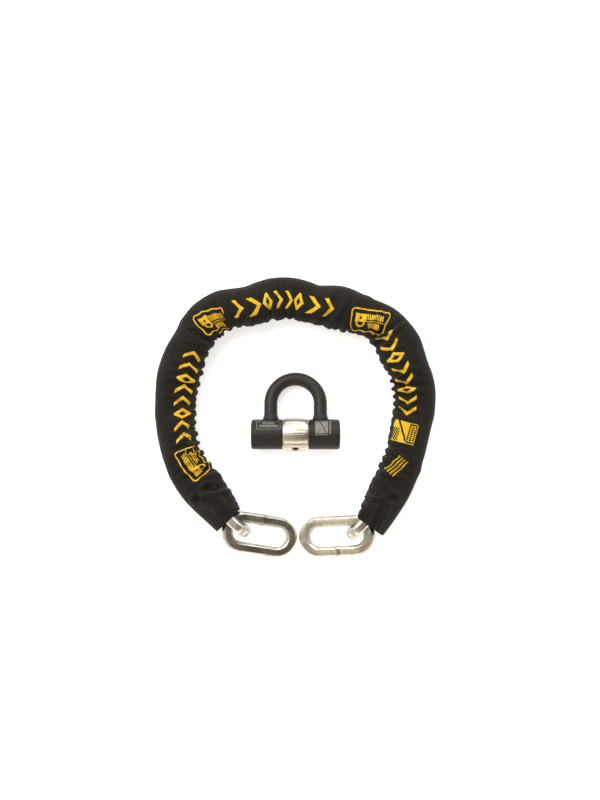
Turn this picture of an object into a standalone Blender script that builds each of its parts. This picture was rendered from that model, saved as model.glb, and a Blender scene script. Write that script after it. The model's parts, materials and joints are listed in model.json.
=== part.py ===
"""Chain lock: a square-link security chain in a fabric sleeve, with a compact U-shackle lock.

Millimetres are written with the MM factor, so every stored length is in metres. +Z is up.
The chain lies in an open ring on its sleeve and the lock lies in the middle of the ring.
"""

import math

import bmesh
import bpy
from mathutils import Matrix, Vector

MM = 0.001

# Chain links: square bar with chamfered edges, bent to a racetrack and welded on one side.
BAR = 10.0 * MM
BAR_CHAMFER = 2.0 * MM
LINK_INNER_LENGTH = 48.3 * MM
LINK_INNER_WIDTH = 15.0 * MM
LINK_COUNT = 15
ROOT_LINK = 8
WELD_SWELL = 1.06
VERTICAL_PITCH = LINK_INNER_LENGTH + BAR
FLAT_PITCH = LINK_INNER_LENGTH - LINK_INNER_WIDTH
OUTER_LINK_ROLL = math.radians(5.0)

# End links: longer and heavier, so the lock's shackle fits through them.
END_BAR = 11.0 * MM
END_CHAMFER = 2.4 * MM
END_INNER_LENGTH = 58.8 * MM
END_INNER_WIDTH = 20.7 * MM
END_PIVOT_TO_CENTRE = 15.5 * MM
END_SIDE_SHIFT = 1.5 * MM
END_FLOOR_GAP = 0.58 * MM
END_NEAR_LIFT = 1.3 * MM
LEFT_END_HEADING = math.radians(-10.0)
RIGHT_END_HEADING = math.radians(184.0)

# Layout of the ring: the first joint, the first link's heading and the bend law of the joints.
# The ring is a rounded square, so the bend peaks at two corners and dips at the flat top.
FIRST_JOINT = Vector((-51.8 * MM, -132.7 * MM))
FIRST_HEADING = math.radians(137.15)
BASE_BEND = 15.9
CORNER_BEND = 14.85
CORNER_JOINTS = (5.24, 9.78)
CORNER_SPREAD = 1.24
TOP_DIP = 8.1
TOP_JOINT = 8.0
TOP_SPREAD = 1.2

# Fabric sleeve: one stand-in tube section on every link.
SLEEVE_WALL = 1.2 * MM
SLEEVE_SIDE_WALL = 1.8 * MM
SLEEVE_INNER_HALF_WIDTH = 18.9 * MM
SLEEVE_INNER_HALF_HEIGHT = 18.2 * MM
SLEEVE_CORNER = 10.0 * MM
SLEEVE_JOINT_GAP = 6.3 * MM
SLEEVE_MOUTH = 19.5 * MM
CHAIN_HEIGHT = SLEEVE_INNER_HALF_HEIGHT + SLEEVE_WALL

# Lock: body axis along X, shackle towards +Y, tilted until the shackle rests on the floor.
LOCK_PLACE = Vector((0.5 * MM, -30.9 * MM, 18.02 * MM))
LOCK_TILT = math.radians(-10.5)
CORE_RADIUS = 12.5 * MM
CORE_HALF = 43.0 * MM
COVER_RADIUS = 15.8 * MM
COVER_INNER = 12.8 * MM
COVER_END = 46.5 * MM
COVER_START = 13.8 * MM
COVER_ROUND = 2.4 * MM
RING_HALF = 13.4 * MM
RING_RADIUS = 17.5 * MM
RING_EDGE_RADIUS = 16.3 * MM
RING_INNER = 12.9 * MM
RING_RIBS = 8
RIB_HEIGHT = 0.5 * MM
RIB_HALF_ANGLE = math.radians(5.4)
KEYHOLE_RADIUS = 3.7 * MM
KEYHOLE_ANGLE = math.radians(18.0)
LEG_X = 26.1 * MM
LEG_RADIUS = 5.5 * MM
LEG_END = -9.0 * MM
ARCH_Y = 33.1 * MM
JACKET_RADIUS = 6.95 * MM
JACKET_INNER = 5.8 * MM
JACKET_START = 13.0 * MM
SEAL_INNER = 7.3 * MM
SEAL_RADIUS = 8.2 * MM
LOCK_BORE = 8.4 * MM
HOUSING_RADIUS = 8.1 * MM
PLUG_RADIUS = 5.2 * MM
BOLT_RADIUS = 3.5 * MM
BOLT_Y = 3.3 * MM
BOLT_INNER = 5.0 * MM
BOLT_OUTER = 20.2 * MM
CLEAR = 0.3 * MM


def clear_scene():
    for item in list(bpy.data.objects):
        bpy.data.objects.remove(item, do_unlink=True)


def material(name, colour, metallic, roughness):
    made = bpy.data.materials.new(name)
    made.use_nodes = True
    shader = made.node_tree.nodes["Principled BSDF"]
    shader.inputs["Base Color"].default_value = (*colour, 1.0)
    shader.inputs["Metallic"].default_value = metallic
    shader.inputs["Roughness"].default_value = roughness
    made.diffuse_color = (*colour, 1.0)
    return made


def zinc_steel(name):
    return material(name, (0.58, 0.56, 0.5), 1.0, 0.32)


def black_fabric(name):
    return material(name, (0.022, 0.019, 0.016), 0.0, 0.9)


def soft_black(name):
    return material(name, (0.05, 0.046, 0.042), 0.0, 0.55)


def satin_nickel(name):
    return material(name, (0.72, 0.67, 0.58), 1.0, 0.28)


def brass(name):
    return material(name, (0.7, 0.52, 0.24), 1.0, 0.3)


def tool_steel(name):
    return material(name, (0.42, 0.43, 0.44), 1.0, 0.35)


def black_rubber(name):
    return material(name, (0.03, 0.029, 0.028), 0.0, 0.7)


def solid(name, verts, faces, look, smooth=True):
    """One closed mesh object facing outwards."""
    mesh = bpy.data.meshes.new(name)
    mesh.from_pydata([tuple(v) for v in verts], [], faces)
    work = bmesh.new()
    work.from_mesh(mesh)
    bmesh.ops.recalc_face_normals(work, faces=work.faces)
    work.to_mesh(mesh)
    work.free()
    if smooth:
        mesh.shade_smooth()
        mesh.set_sharp_from_angle(angle=math.radians(28.0))
    made = bpy.data.objects.new(name, mesh)
    bpy.context.scene.collection.objects.link(made)
    if look is not None:
        mesh.materials.append(look)
    return made


def bridge(rows, closed):
    """Quads between successive rows of equal vertex count, each row a closed loop."""
    faces = []
    count = len(rows[0])
    pairs = len(rows) if closed else len(rows) - 1
    for i in range(pairs):
        one = rows[i]
        two = rows[(i + 1) % len(rows)]
        for j in range(count):
            k = (j + 1) % count
            faces.append((one[j], one[k], two[k], two[j]))
    return faces


def number_rows(rings):
    """Flattens rings of points, returning the points and the rows of their numbers."""
    verts = []
    rows = []
    for ring in rings:
        rows.append(list(range(len(verts), len(verts) + len(ring))))
        verts.extend(ring)
    return verts, rows


def octagon(half, chamfer):
    """Corners of a chamfered square as (outward, sideways) pairs."""
    flat = half - chamfer
    corners = [(half, -flat), (half, flat), (flat, half), (-flat, half)]
    return corners + [(-half, flat), (-half, -flat), (-flat, -half), (flat, -half)]


def racetrack_stations(half_straight, radius, segments, swell_half):
    """Centre line of a link: (point, outward normal, section scale), with a weld on one side."""
    stations = []
    for i in range(segments + 1):
        angle = -math.pi / 2 + math.pi * i / segments
        normal = Vector((math.cos(angle), math.sin(angle), 0.0))
        stations.append((Vector((half_straight, 0, 0)) + normal * radius, normal, 1.0))
    side = Vector((0.0, 1.0, 0.0))
    weld = [(swell_half * 1.5, 1.0), (swell_half * 0.5, WELD_SWELL)]
    weld += [(-swell_half * 0.5, WELD_SWELL), (-swell_half * 1.5, 1.0)]
    for x, scale in weld:
        stations.append((Vector((x, radius, 0.0)), side, scale))
    for i in range(segments + 1):
        angle = math.pi / 2 + math.pi * i / segments
        normal = Vector((math.cos(angle), math.sin(angle), 0.0))
        stations.append((Vector((-half_straight, 0, 0)) + normal * radius, normal, 1.0))
    return stations


def racetrack_mesh(inner_length, inner_width, bar, chamfer, segments):
    """Points and faces of one welded link, lying flat with its length along X."""
    radius = (inner_width + bar) / 2
    half_straight = (inner_length - inner_width) / 2
    section = octagon(bar / 2, chamfer)
    rings = []
    for point, normal, scale in racetrack_stations(half_straight, radius, segments, 2.2 * MM):
        up = Vector((0.0, 0.0, 1.0))
        rings.append([point + normal * (a * scale) + up * (b * scale) for a, b in section])
    verts, rows = number_rows(rings)
    return verts, bridge(rows, True)


def joint_bends():
    """Bend in radians at each of the joints between neighbouring chain links."""
    bends = []
    for i in range(1, LINK_COUNT):
        corners = sum(math.exp(-(((i - c) / CORNER_SPREAD) ** 2)) for c in CORNER_JOINTS)
        dip = TOP_DIP * math.exp(-(((i - TOP_JOINT) / TOP_SPREAD) ** 2))
        bends.append(math.radians(BASE_BEND + CORNER_BEND * corners - dip))
    return bends


def is_vertical(number):
    return number % 2 == 1


def pitch(number):
    return VERTICAL_PITCH if is_vertical(number) else FLAT_PITCH


def chain_layout():
    """Joint points (one more than links) and the heading of every link."""
    headings = [FIRST_HEADING]
    for bend in joint_bends():
        headings.append(headings[-1] - bend)
    points = [FIRST_JOINT.copy()]
    for number, heading in enumerate(headings, 1):
        step = Vector((math.cos(heading), math.sin(heading))) * pitch(number)
        points.append(points[-1] + step)
    return points, headings


def arm_frame(number, points, headings):
    """Frame of a link: origin on the joint nearer the root, +X pointing away from the root."""
    heading = headings[number - 1]
    if number == ROOT_LINK:
        middle = (points[number - 1] + points[number]) / 2
        return middle, heading
    if number < ROOT_LINK:
        return points[number], heading + math.pi
    return points[number - 1], heading


def place(item, point, turn, height):
    item.matrix_world = Matrix.Translation((point.x, point.y, height)) @ Matrix.Rotation(turn, 4, "Z")


def link_centre(number):
    """Distance along the link's own +X from its frame origin to its middle."""
    return 0.0 if number == ROOT_LINK else pitch(number) / 2


def chain_link(number, points, headings, look):
    verts, faces = racetrack_mesh(LINK_INNER_LENGTH, LINK_INNER_WIDTH, BAR, BAR_CHAMFER, 8)
    turn = Matrix.Identity(4)
    if is_vertical(number):
        turn = Matrix.Rotation(math.pi / 2, 4, "X")
    if number == 1:
        turn = Matrix.Rotation(OUTER_LINK_ROLL, 4, "X") @ turn
    if number == LINK_COUNT:
        turn = Matrix.Rotation(-OUTER_LINK_ROLL, 4, "X") @ turn
    turn = Matrix.Translation((link_centre(number), 0.0, 0.0)) @ turn
    name = "chain_link_%02d" % number
    made = solid(name, [turn @ v for v in verts], faces, look)
    origin, heading = arm_frame(number, points, headings)
    place(made, origin, heading, CHAIN_HEIGHT)
    return made


def rounded_loop(half_width, half_height, corner, x):
    """Rounded rectangle in the YZ plane at the given X, sixteen points."""
    loop = []
    for quarter in range(4):
        sign_y = (1, -1, -1, 1)[quarter]
        sign_z = (1, 1, -1, -1)[quarter]
        for i in range(4):
            angle = math.pi / 2 * (quarter + i / 3)
            y = sign_y * (half_width - corner) + corner * math.cos(angle)
            z = sign_z * (half_height - corner) + corner * math.sin(angle)
            loop.append(Vector((x, y, z)))
    return loop


def sleeve_span(number):
    """Start and end of a link's sleeve section along the link's own +X."""
    length = pitch(number)
    if number == ROOT_LINK:
        return -length / 2 + SLEEVE_JOINT_GAP, length / 2 - SLEEVE_JOINT_GAP
    if number in (1, LINK_COUNT):
        return SLEEVE_JOINT_GAP, length - SLEEVE_MOUTH
    return SLEEVE_JOINT_GAP, length - SLEEVE_JOINT_GAP


def sleeve_section(number, points, headings, look):
    start, end = sleeve_span(number)
    outer_w = SLEEVE_INNER_HALF_WIDTH + SLEEVE_SIDE_WALL
    outer_h = SLEEVE_INNER_HALF_HEIGHT + SLEEVE_WALL
    outer = (outer_w, outer_h, SLEEVE_CORNER + SLEEVE_WALL)
    inner = (SLEEVE_INNER_HALF_WIDTH, SLEEVE_INNER_HALF_HEIGHT, SLEEVE_CORNER)
    rings = [rounded_loop(*outer, start), rounded_loop(*outer, end)]
    rings += [rounded_loop(*inner, end), rounded_loop(*inner, start)]
    verts, rows = number_rows(rings)
    made = solid("sleeve_section_%02d" % number, verts, bridge(rows, True), look)
    origin, heading = arm_frame(number, points, headings)
    place(made, origin, heading, CHAIN_HEIGHT)
    return made


def end_link_tilt():
    """Tilt that lays the far crown on the floor while the near crown stays at chain height."""
    near = END_PIVOT_TO_CENTRE - (END_INNER_LENGTH + END_BAR) / 2
    far = END_PIVOT_TO_CENTRE + (END_INNER_LENGTH + END_BAR) / 2
    drop = CHAIN_HEIGHT + END_NEAR_LIFT - END_BAR / 2 - END_FLOOR_GAP
    return math.asin(drop / (far - near)), near


def end_link(name, pivot, heading, side, look):
    verts, faces = racetrack_mesh(END_INNER_LENGTH, END_INNER_WIDTH, END_BAR, END_CHAMFER, 11)
    tilt, near = end_link_tilt()
    hinge = Matrix.Translation((near, 0.0, END_NEAR_LIFT)) @ Matrix.Rotation(tilt, 4, "Y")
    shift = Matrix.Translation((END_PIVOT_TO_CENTRE - near, side * END_SIDE_SHIFT, 0.0))
    turn = hinge @ shift
    made = solid(name, [turn @ v for v in verts], faces, look)
    place(made, pivot, heading, CHAIN_HEIGHT)
    return made


def build_chain():
    points, headings = chain_layout()
    for number in range(1, LINK_COUNT + 1):
        link_look = zinc_steel("zinc_steel_link_%02d" % number)
        chain_link(number, points, headings, link_look)
        fabric_look = black_fabric("black_fabric_%02d" % number)
        sleeve_section(number, points, headings, fabric_look)
    left_look = zinc_steel("zinc_steel_left_end")
    end_link("left_end_link", points[0], LEFT_END_HEADING, -1.0, left_look)
    right_look = zinc_steel("zinc_steel_right_end")
    end_link("right_end_link", points[-1], RIGHT_END_HEADING, 1.0, right_look)


def revolve(name, profile, segments, look, axis="X"):
    """Closed (along, radius) profile turned about the axis; zero radii close on the axis."""
    verts = []
    rows = []
    for along, radius in profile:
        count = 1 if radius <= 0.0 else segments
        rows.append(list(range(len(verts), len(verts) + count)))
        for j in range(count):
            angle = 2 * math.pi * j / segments
            across = radius * math.cos(angle)
            over = radius * math.sin(angle)
            point = (along, across, over) if axis == "X" else (across, along, over)
            verts.append(point if axis != "Z" else (across, over, along))
    faces = []
    on_axis = profile[0][1] <= 0.0
    pairs = len(rows) - 1 if on_axis else len(rows)
    for i in range(pairs):
        one = rows[i]
        two = rows[(i + 1) % len(rows)]
        for j in range(segments):
            k = (j + 1) % segments
            if len(one) == 1:
                faces.append((one[0], two[k], two[j]))
            elif len(two) == 1:
                faces.append((one[j], one[k], two[0]))
            else:
                faces.append((one[j], one[k], two[k], two[j]))
    return solid(name, verts, faces, look)


def lock_matrix():
    return Matrix.Translation(LOCK_PLACE) @ Matrix.Rotation(LOCK_TILT, 4, "X")


def seat(item):
    item.matrix_world = lock_matrix()
    return item


def cutter(name, radius, start, end, axis, segments, offset):
    """Hidden cylinder used to cut a hole, in the lock's own frame."""
    profile = [(start, 0.0), (start, radius), (end, radius), (end, 0.0)]
    made = revolve(name, profile, segments, None, axis)
    made.data.transform(Matrix.Translation(offset))
    made.hide_render = True
    made.display_type = "WIRE"
    return seat(made)


def cut(item, tool):
    step = item.modifiers.new("cut_" + tool.name, "BOOLEAN")
    step.operation = "DIFFERENCE"
    step.solver = "EXACT"
    step.object = tool


def body_core(leg_tools, channel, bore, pin_tool):
    profile = [(-CORE_HALF, 0.0), (-CORE_HALF, CORE_RADIUS - 1.0 * MM)]
    profile += [(-CORE_HALF + 1.0 * MM, CORE_RADIUS), (CORE_HALF - 1.0 * MM, CORE_RADIUS)]
    profile += [(CORE_HALF, CORE_RADIUS - 1.0 * MM), (CORE_HALF, 0.0)]
    made = seat(revolve("lock_body_core", profile, 32, tool_steel("steel_body_core")))
    for tool in leg_tools + [channel, bore, pin_tool]:
        cut(made, tool)
    return made


def cover(name, side, tool, look):
    """Cup-shaped soft cover over one half of the body, open towards the ring."""
    ends = COVER_END - COVER_ROUND
    profile = [(side * COVER_START, COVER_INNER), (side * COVER_START, COVER_RADIUS - 0.5 * MM)]
    profile += [(side * (COVER_START + 0.5 * MM), COVER_RADIUS), (side * ends, COVER_RADIUS)]
    for i in (1, 2):
        angle = math.pi / 2 * i / 3
        along = ends + COVER_ROUND * math.sin(angle)
        radius = COVER_RADIUS - COVER_ROUND * (1.0 - math.cos(angle))
        profile.append((side * along, radius))
    profile += [(side * COVER_END, COVER_RADIUS - COVER_ROUND), (side * (COVER_END + 0.6 * MM), 0.0)]
    floor = CORE_HALF + CLEAR
    inside = [(side * floor, 0.0), (side * floor, COVER_INNER)]
    verts_profile = inside + profile
    made = seat(revolve(name, verts_profile, 32, look))
    cut(made, tool)
    return made


def ring_radius(x):
    share = abs(x) / RING_HALF
    return RING_RADIUS - (RING_RADIUS - RING_EDGE_RADIUS) * share * share


def keyhole_ring(look):
    """Crowned turning ring with raised grip ribs, its keyhole midway between two ribs."""
    stations = [-13.4, -12.9, -11.2, -10.4, -5.0, 0.0, 5.0, 10.4, 11.2, 12.9, 13.4]
    step = 2 * math.pi / RING_RIBS
    offsets = [-RIB_HALF_ANGLE, -RIB_HALF_ANGLE / 2, RIB_HALF_ANGLE / 2, RIB_HALF_ANGLE]
    offsets += [step * 0.37, step * 0.63]
    angles = []
    raised = []
    keyhole = math.pi - KEYHOLE_ANGLE
    for rib in range(RING_RIBS):
        for i, offset in enumerate(offsets):
            angles.append(keyhole + step * (rib + 0.5) + offset)
            raised.append(i in (1, 2))
    rings = []
    for mm in stations:
        x = mm * MM
        base = ring_radius(x)
        if abs(mm) > 13.0:
            base -= 0.5 * MM
        ring = []
        for angle, lifted in zip(angles, raised):
            grown = RIB_HEIGHT if lifted and abs(mm) < 11.0 else 0.0
            radius = base + grown
            ring.append(Vector((x, radius * math.cos(angle), radius * math.sin(angle))))
        rings.append(ring)
    for mm in (13.4, -13.4):
        ring = [Vector((mm * MM, RING_INNER * math.cos(a), RING_INNER * math.sin(a))) for a in angles]
        rings.append(ring)
    verts, rows = number_rows(rings)
    made = seat(solid("keyhole_cover_ring", verts, bridge(rows, True), look))
    tool = cutter("cut_keyhole_window", KEYHOLE_RADIUS, -25.0 * MM, -9.0 * MM, "Y", 20, (0, 0, 0))
    tool.data.transform(Matrix.Rotation(-KEYHOLE_ANGLE, 4, "X"))
    cut(made, tool)
    return made


def shackle_path(start, arch_segments):
    """Centre line of the U from the left leg's end to the right leg's end, with tangents."""
    path = [(Vector((-LEG_X, start, 0.0)), Vector((0.0, 1.0, 0.0)))]
    for i in range(arch_segments + 1):
        angle = math.pi - math.pi * i / arch_segments
        point = Vector((LEG_X * math.cos(angle), ARCH_Y + LEG_X * math.sin(angle), 0.0))
        path.append((point, Vector((math.sin(angle), -math.cos(angle), 0.0))))
    path.append((Vector((LEG_X, start, 0.0)), Vector((0.0, -1.0, 0.0))))
    return path


def tube_rings(path, radius, segments):
    rings = []
    up = Vector((0.0, 0.0, 1.0))
    for point, tangent in path:
        side = tangent.cross(up).normalized()
        ring = []
        for j in range(segments):
            angle = 2 * math.pi * j / segments
            ring.append(point + side * (radius * math.cos(angle)) + up * (radius * math.sin(angle)))
        rings.append(ring)
    return rings


def shackle_core(look):
    rings = tube_rings(shackle_path(LEG_END + 1.0 * MM, 14), LEG_RADIUS, 16)
    ends = tube_rings(shackle_path(LEG_END, 14), LEG_RADIUS - 1.0 * MM, 16)
    rings = [ends[0]] + rings + [ends[-1]]
    verts, rows = number_rows(rings)
    faces = bridge(rows, False) + [tuple(reversed(rows[0])), tuple(rows[-1])]
    made = seat(solid("shackle_core", verts, faces, look))
    for side, word in ((-1, "left"), (1, "right")):
        start, end = sorted((side * 19.5 * MM, side * 23.6 * MM))
        tool = cutter("cut_%s_notch" % word, 4.0 * MM, start, end, "X", 20, (0, BOLT_Y, 0))
        cut(made, tool)
    return made


def shackle_jacket(look):
    path = shackle_path(JACKET_START, 14)
    outer = tube_rings(path, JACKET_RADIUS, 16)
    inner = tube_rings(path, JACKET_INNER, 16)
    verts, rows = number_rows(outer + inner[::-1])
    return seat(solid("shackle_jacket", verts, bridge(rows, True), look))


def leg_seal(name, side, look):
    """Flared rubber collar standing in the cover's leg hole."""
    low = 12.9 * MM
    profile = [(low, SEAL_INNER), (low, SEAL_RADIUS), (16.4 * MM, SEAL_RADIUS)]
    profile += [(17.6 * MM, SEAL_RADIUS - 0.25 * MM), (20.4 * MM, SEAL_INNER + 0.45 * MM)]
    profile += [(20.6 * MM, SEAL_INNER + 0.2 * MM), (20.6 * MM, SEAL_INNER)]
    made = revolve(name, profile, 24, look, "Y")
    made.data.transform(Matrix.Translation((side * LEG_X, 0.0, 0.0)))
    return seat(made)


def cylinder_housing(look, pin_tool):
    profile = [(-10.4 * MM, PLUG_RADIUS + CLEAR), (-10.4 * MM, HOUSING_RADIUS - 1.2 * MM)]
    profile += [(-9.0 * MM, HOUSING_RADIUS), (-0.9 * MM, HOUSING_RADIUS)]
    profile += [(-0.9 * MM, PLUG_RADIUS + CLEAR)]
    made = seat(revolve("cylinder_housing", profile, 28, look, "Y"))
    cut(made, pin_tool)
    return made


def cylinder_plug(look):
    """Turning plug with its keyway and a tail for the cam."""
    profile = [(-10.7 * MM, 0.0), (-10.7 * MM, PLUG_RADIUS - 0.5 * MM)]
    profile += [(-10.2 * MM, PLUG_RADIUS), (-0.6 * MM, PLUG_RADIUS), (-0.6 * MM, 2.0 * MM)]
    profile += [(6.3 * MM, 2.0 * MM), (6.3 * MM, 0.0)]
    made = seat(revolve("cylinder_plug", profile, 24, look, "Y"))
    half = (1.0 * MM, 5.5 * MM, 3.2 * MM)
    corners = [(x, y, z) for x in (-1, 1) for y in (-1, 1) for z in (-1, 1)]
    verts = [(c[0] * half[0], c[1] * half[1] - 9.5 * MM, c[2] * half[2]) for c in corners]
    faces = [(0, 1, 3, 2), (4, 6, 7, 5), (0, 4, 5, 1), (2, 3, 7, 6), (0, 2, 6, 4), (1, 5, 7, 3)]
    tool = seat(solid("cut_keyway", verts, faces, None, smooth=False))
    tool.hide_render = True
    tool.display_type = "WIRE"
    cut(made, tool)
    return made


def drive_cam(look):
    """Oval cam on the plug's tail; its long axis turns towards the bolts to lock."""
    outer = []
    inner = []
    count = 24
    for j in range(count):
        angle = 2 * math.pi * j / count
        outer.append((4.4 * MM * math.cos(angle), 7.3 * MM * math.sin(angle)))
        inner.append((2.3 * MM * math.cos(angle), 2.3 * MM * math.sin(angle)))
    low = 0.9 * MM
    high = 5.7 * MM
    rings = [[Vector((x, low, z)) for x, z in outer], [Vector((x, high, z)) for x, z in outer]]
    rings += [[Vector((x, high, z)) for x, z in inner], [Vector((x, low, z)) for x, z in inner]]
    verts, rows = number_rows(rings)
    return seat(solid("drive_cam", verts, bridge(rows, True), look))


def locking_bolt(name, side, look):
    profile = [(side * BOLT_INNER, 0.0), (side * BOLT_INNER, BOLT_RADIUS - 0.3 * MM)]
    profile += [(side * (BOLT_INNER + 0.3 * MM), BOLT_RADIUS)]
    profile += [(side * (BOLT_OUTER - 1.6 * MM), BOLT_RADIUS)]
    profile += [(side * (BOLT_OUTER - 0.5 * MM), BOLT_RADIUS - 1.0 * MM)]
    profile += [(side * BOLT_OUTER, BOLT_RADIUS - 2.2 * MM), (side * BOLT_OUTER, 0.0)]
    made = revolve(name, profile, 20, look)
    made.data.transform(Matrix.Translation((0.0, BOLT_Y, 0.0)))
    return seat(made)


def retaining_pin(look):
    """Cross pin that holds the cylinder housing in the body."""
    profile = [(6.0 * MM, 0.0), (6.0 * MM, 0.95 * MM), (10.7 * MM, 0.95 * MM), (10.7 * MM, 0.0)]
    made = revolve("cylinder_retaining_pin", profile, 12, look, "Z")
    made.data.transform(Matrix.Translation((0.0, -5.5 * MM, 0.0)))
    return seat(made)


def build_lock():
    leg_tools = []
    cover_tools = []
    for side, word in ((-1, "left"), (1, "right")):
        offset = (side * LEG_X, 0.0, 0.0)
        name = "cut_%s_leg_hole" % word
        radius = LEG_RADIUS + 0.4 * MM
        leg_tools.append(cutter(name, radius, LEG_END - 0.5 * MM, 20.0 * MM, "Y", 24, offset))
        name = "cut_%s_cover_hole" % word
        cover_tools.append(cutter(name, SEAL_RADIUS + CLEAR, 4.0 * MM, 24.0 * MM, "Y", 24, offset))
    reach = LEG_X - 1.0 * MM
    channel = cutter("cut_bolt_channel", BOLT_RADIUS + CLEAR, -reach, reach, "X", 20, (0, BOLT_Y, 0))
    bore = cutter("cut_cylinder_bore", LOCK_BORE, -20.0 * MM, 7.3 * MM, "Y", 28, (0, 0, 0))
    pin_place = (0.0, -5.5 * MM, 0.0)
    pin_tool = cutter("cut_pin_hole", 1.25 * MM, 5.7 * MM, 20.0 * MM, "Z", 12, pin_place)
    body_core(leg_tools, channel, bore, pin_tool)
    cover("left_body_cover", -1, cover_tools[0], soft_black("soft_black_left_cover"))
    cover("right_body_cover", 1, cover_tools[1], soft_black("soft_black_right_cover"))
    keyhole_ring(satin_nickel("satin_nickel_ring"))
    shackle_core(tool_steel("steel_shackle_core"))
    shackle_jacket(soft_black("soft_black_shackle_jacket"))
    leg_seal("left_leg_seal", -1, black_rubber("rubber_left_seal"))
    leg_seal("right_leg_seal", 1, black_rubber("rubber_right_seal"))
    cylinder_housing(brass("brass_cylinder_housing"), pin_tool)
    cylinder_plug(brass("brass_cylinder_plug"))
    drive_cam(tool_steel("steel_drive_cam"))
    locking_bolt("left_locking_bolt", -1, tool_steel("steel_left_bolt"))
    locking_bolt("right_locking_bolt", 1, tool_steel("steel_right_bolt"))
    retaining_pin(tool_steel("steel_retaining_pin"))


def centre_on_origin():
    """Moves everything so the box of the finished pieces stands centred on the origin."""
    bpy.context.view_layer.update()
    low = Vector((1.0, 1.0, 1.0)) * 1e9
    high = -low
    for item in bpy.data.objects:
        if item.hide_render:
            continue
        for vert in item.data.vertices:
            spot = item.matrix_world @ vert.co
            low = Vector(map(min, low, spot))
            high = Vector(map(max, high, spot))
    shift = Vector((-(low.x + high.x) / 2, -(low.y + high.y) / 2, -low.z))
    for item in bpy.data.objects:
        item.matrix_world = Matrix.Translation(shift) @ item.matrix_world
    bpy.context.view_layer.update()


clear_scene()
build_chain()
build_lock()
centre_on_origin()
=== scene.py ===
"""Looks of the chain lock: fabric sleeve, zinc-plated links and a small shackle lock."""

import json
import math

import bmesh
import bpy
import numpy as np
from mathutils import Matrix, Vector


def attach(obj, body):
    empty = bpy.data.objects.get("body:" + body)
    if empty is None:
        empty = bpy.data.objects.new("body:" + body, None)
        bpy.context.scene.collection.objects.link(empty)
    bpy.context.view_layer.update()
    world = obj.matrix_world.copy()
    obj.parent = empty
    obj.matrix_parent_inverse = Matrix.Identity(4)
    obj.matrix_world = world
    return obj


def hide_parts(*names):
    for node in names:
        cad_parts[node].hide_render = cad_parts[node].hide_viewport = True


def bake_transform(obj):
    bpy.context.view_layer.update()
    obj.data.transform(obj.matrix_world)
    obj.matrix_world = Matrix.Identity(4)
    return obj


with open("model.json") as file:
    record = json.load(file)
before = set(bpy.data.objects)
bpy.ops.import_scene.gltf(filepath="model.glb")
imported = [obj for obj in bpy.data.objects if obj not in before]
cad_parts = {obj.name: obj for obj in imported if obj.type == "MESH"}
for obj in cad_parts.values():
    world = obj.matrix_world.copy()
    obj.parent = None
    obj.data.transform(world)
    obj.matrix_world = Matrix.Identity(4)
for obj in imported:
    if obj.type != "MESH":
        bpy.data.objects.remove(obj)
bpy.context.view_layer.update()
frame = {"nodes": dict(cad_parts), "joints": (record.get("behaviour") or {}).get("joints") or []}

MM = 0.001
JOINTS = {j["name"]: j for j in frame["joints"]}
LINKS = 15
ROOT = 8


# ---- layout taken from the frame


def body_name(number):
    return "link_%02d" % number


def chain_joints():
    """The chain's joint points: P[i] and P[i + 1] are the two ends of link i + 1."""
    names = ["turn_%02d_on_%02d" % (link, link + 1) for link in range(1, ROOT)]
    names += ["turn_%02d_on_%02d" % (link, link - 1) for link in range(ROOT + 1, LINKS + 1)]
    names = ["left_end_turn", *names, "right_end_turn"]
    return [Vector(JOINTS[name]["pos_m"]) for name in names]


P = chain_joints()
CHAIN_Z = P[0].z


# ---- node helpers


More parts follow.
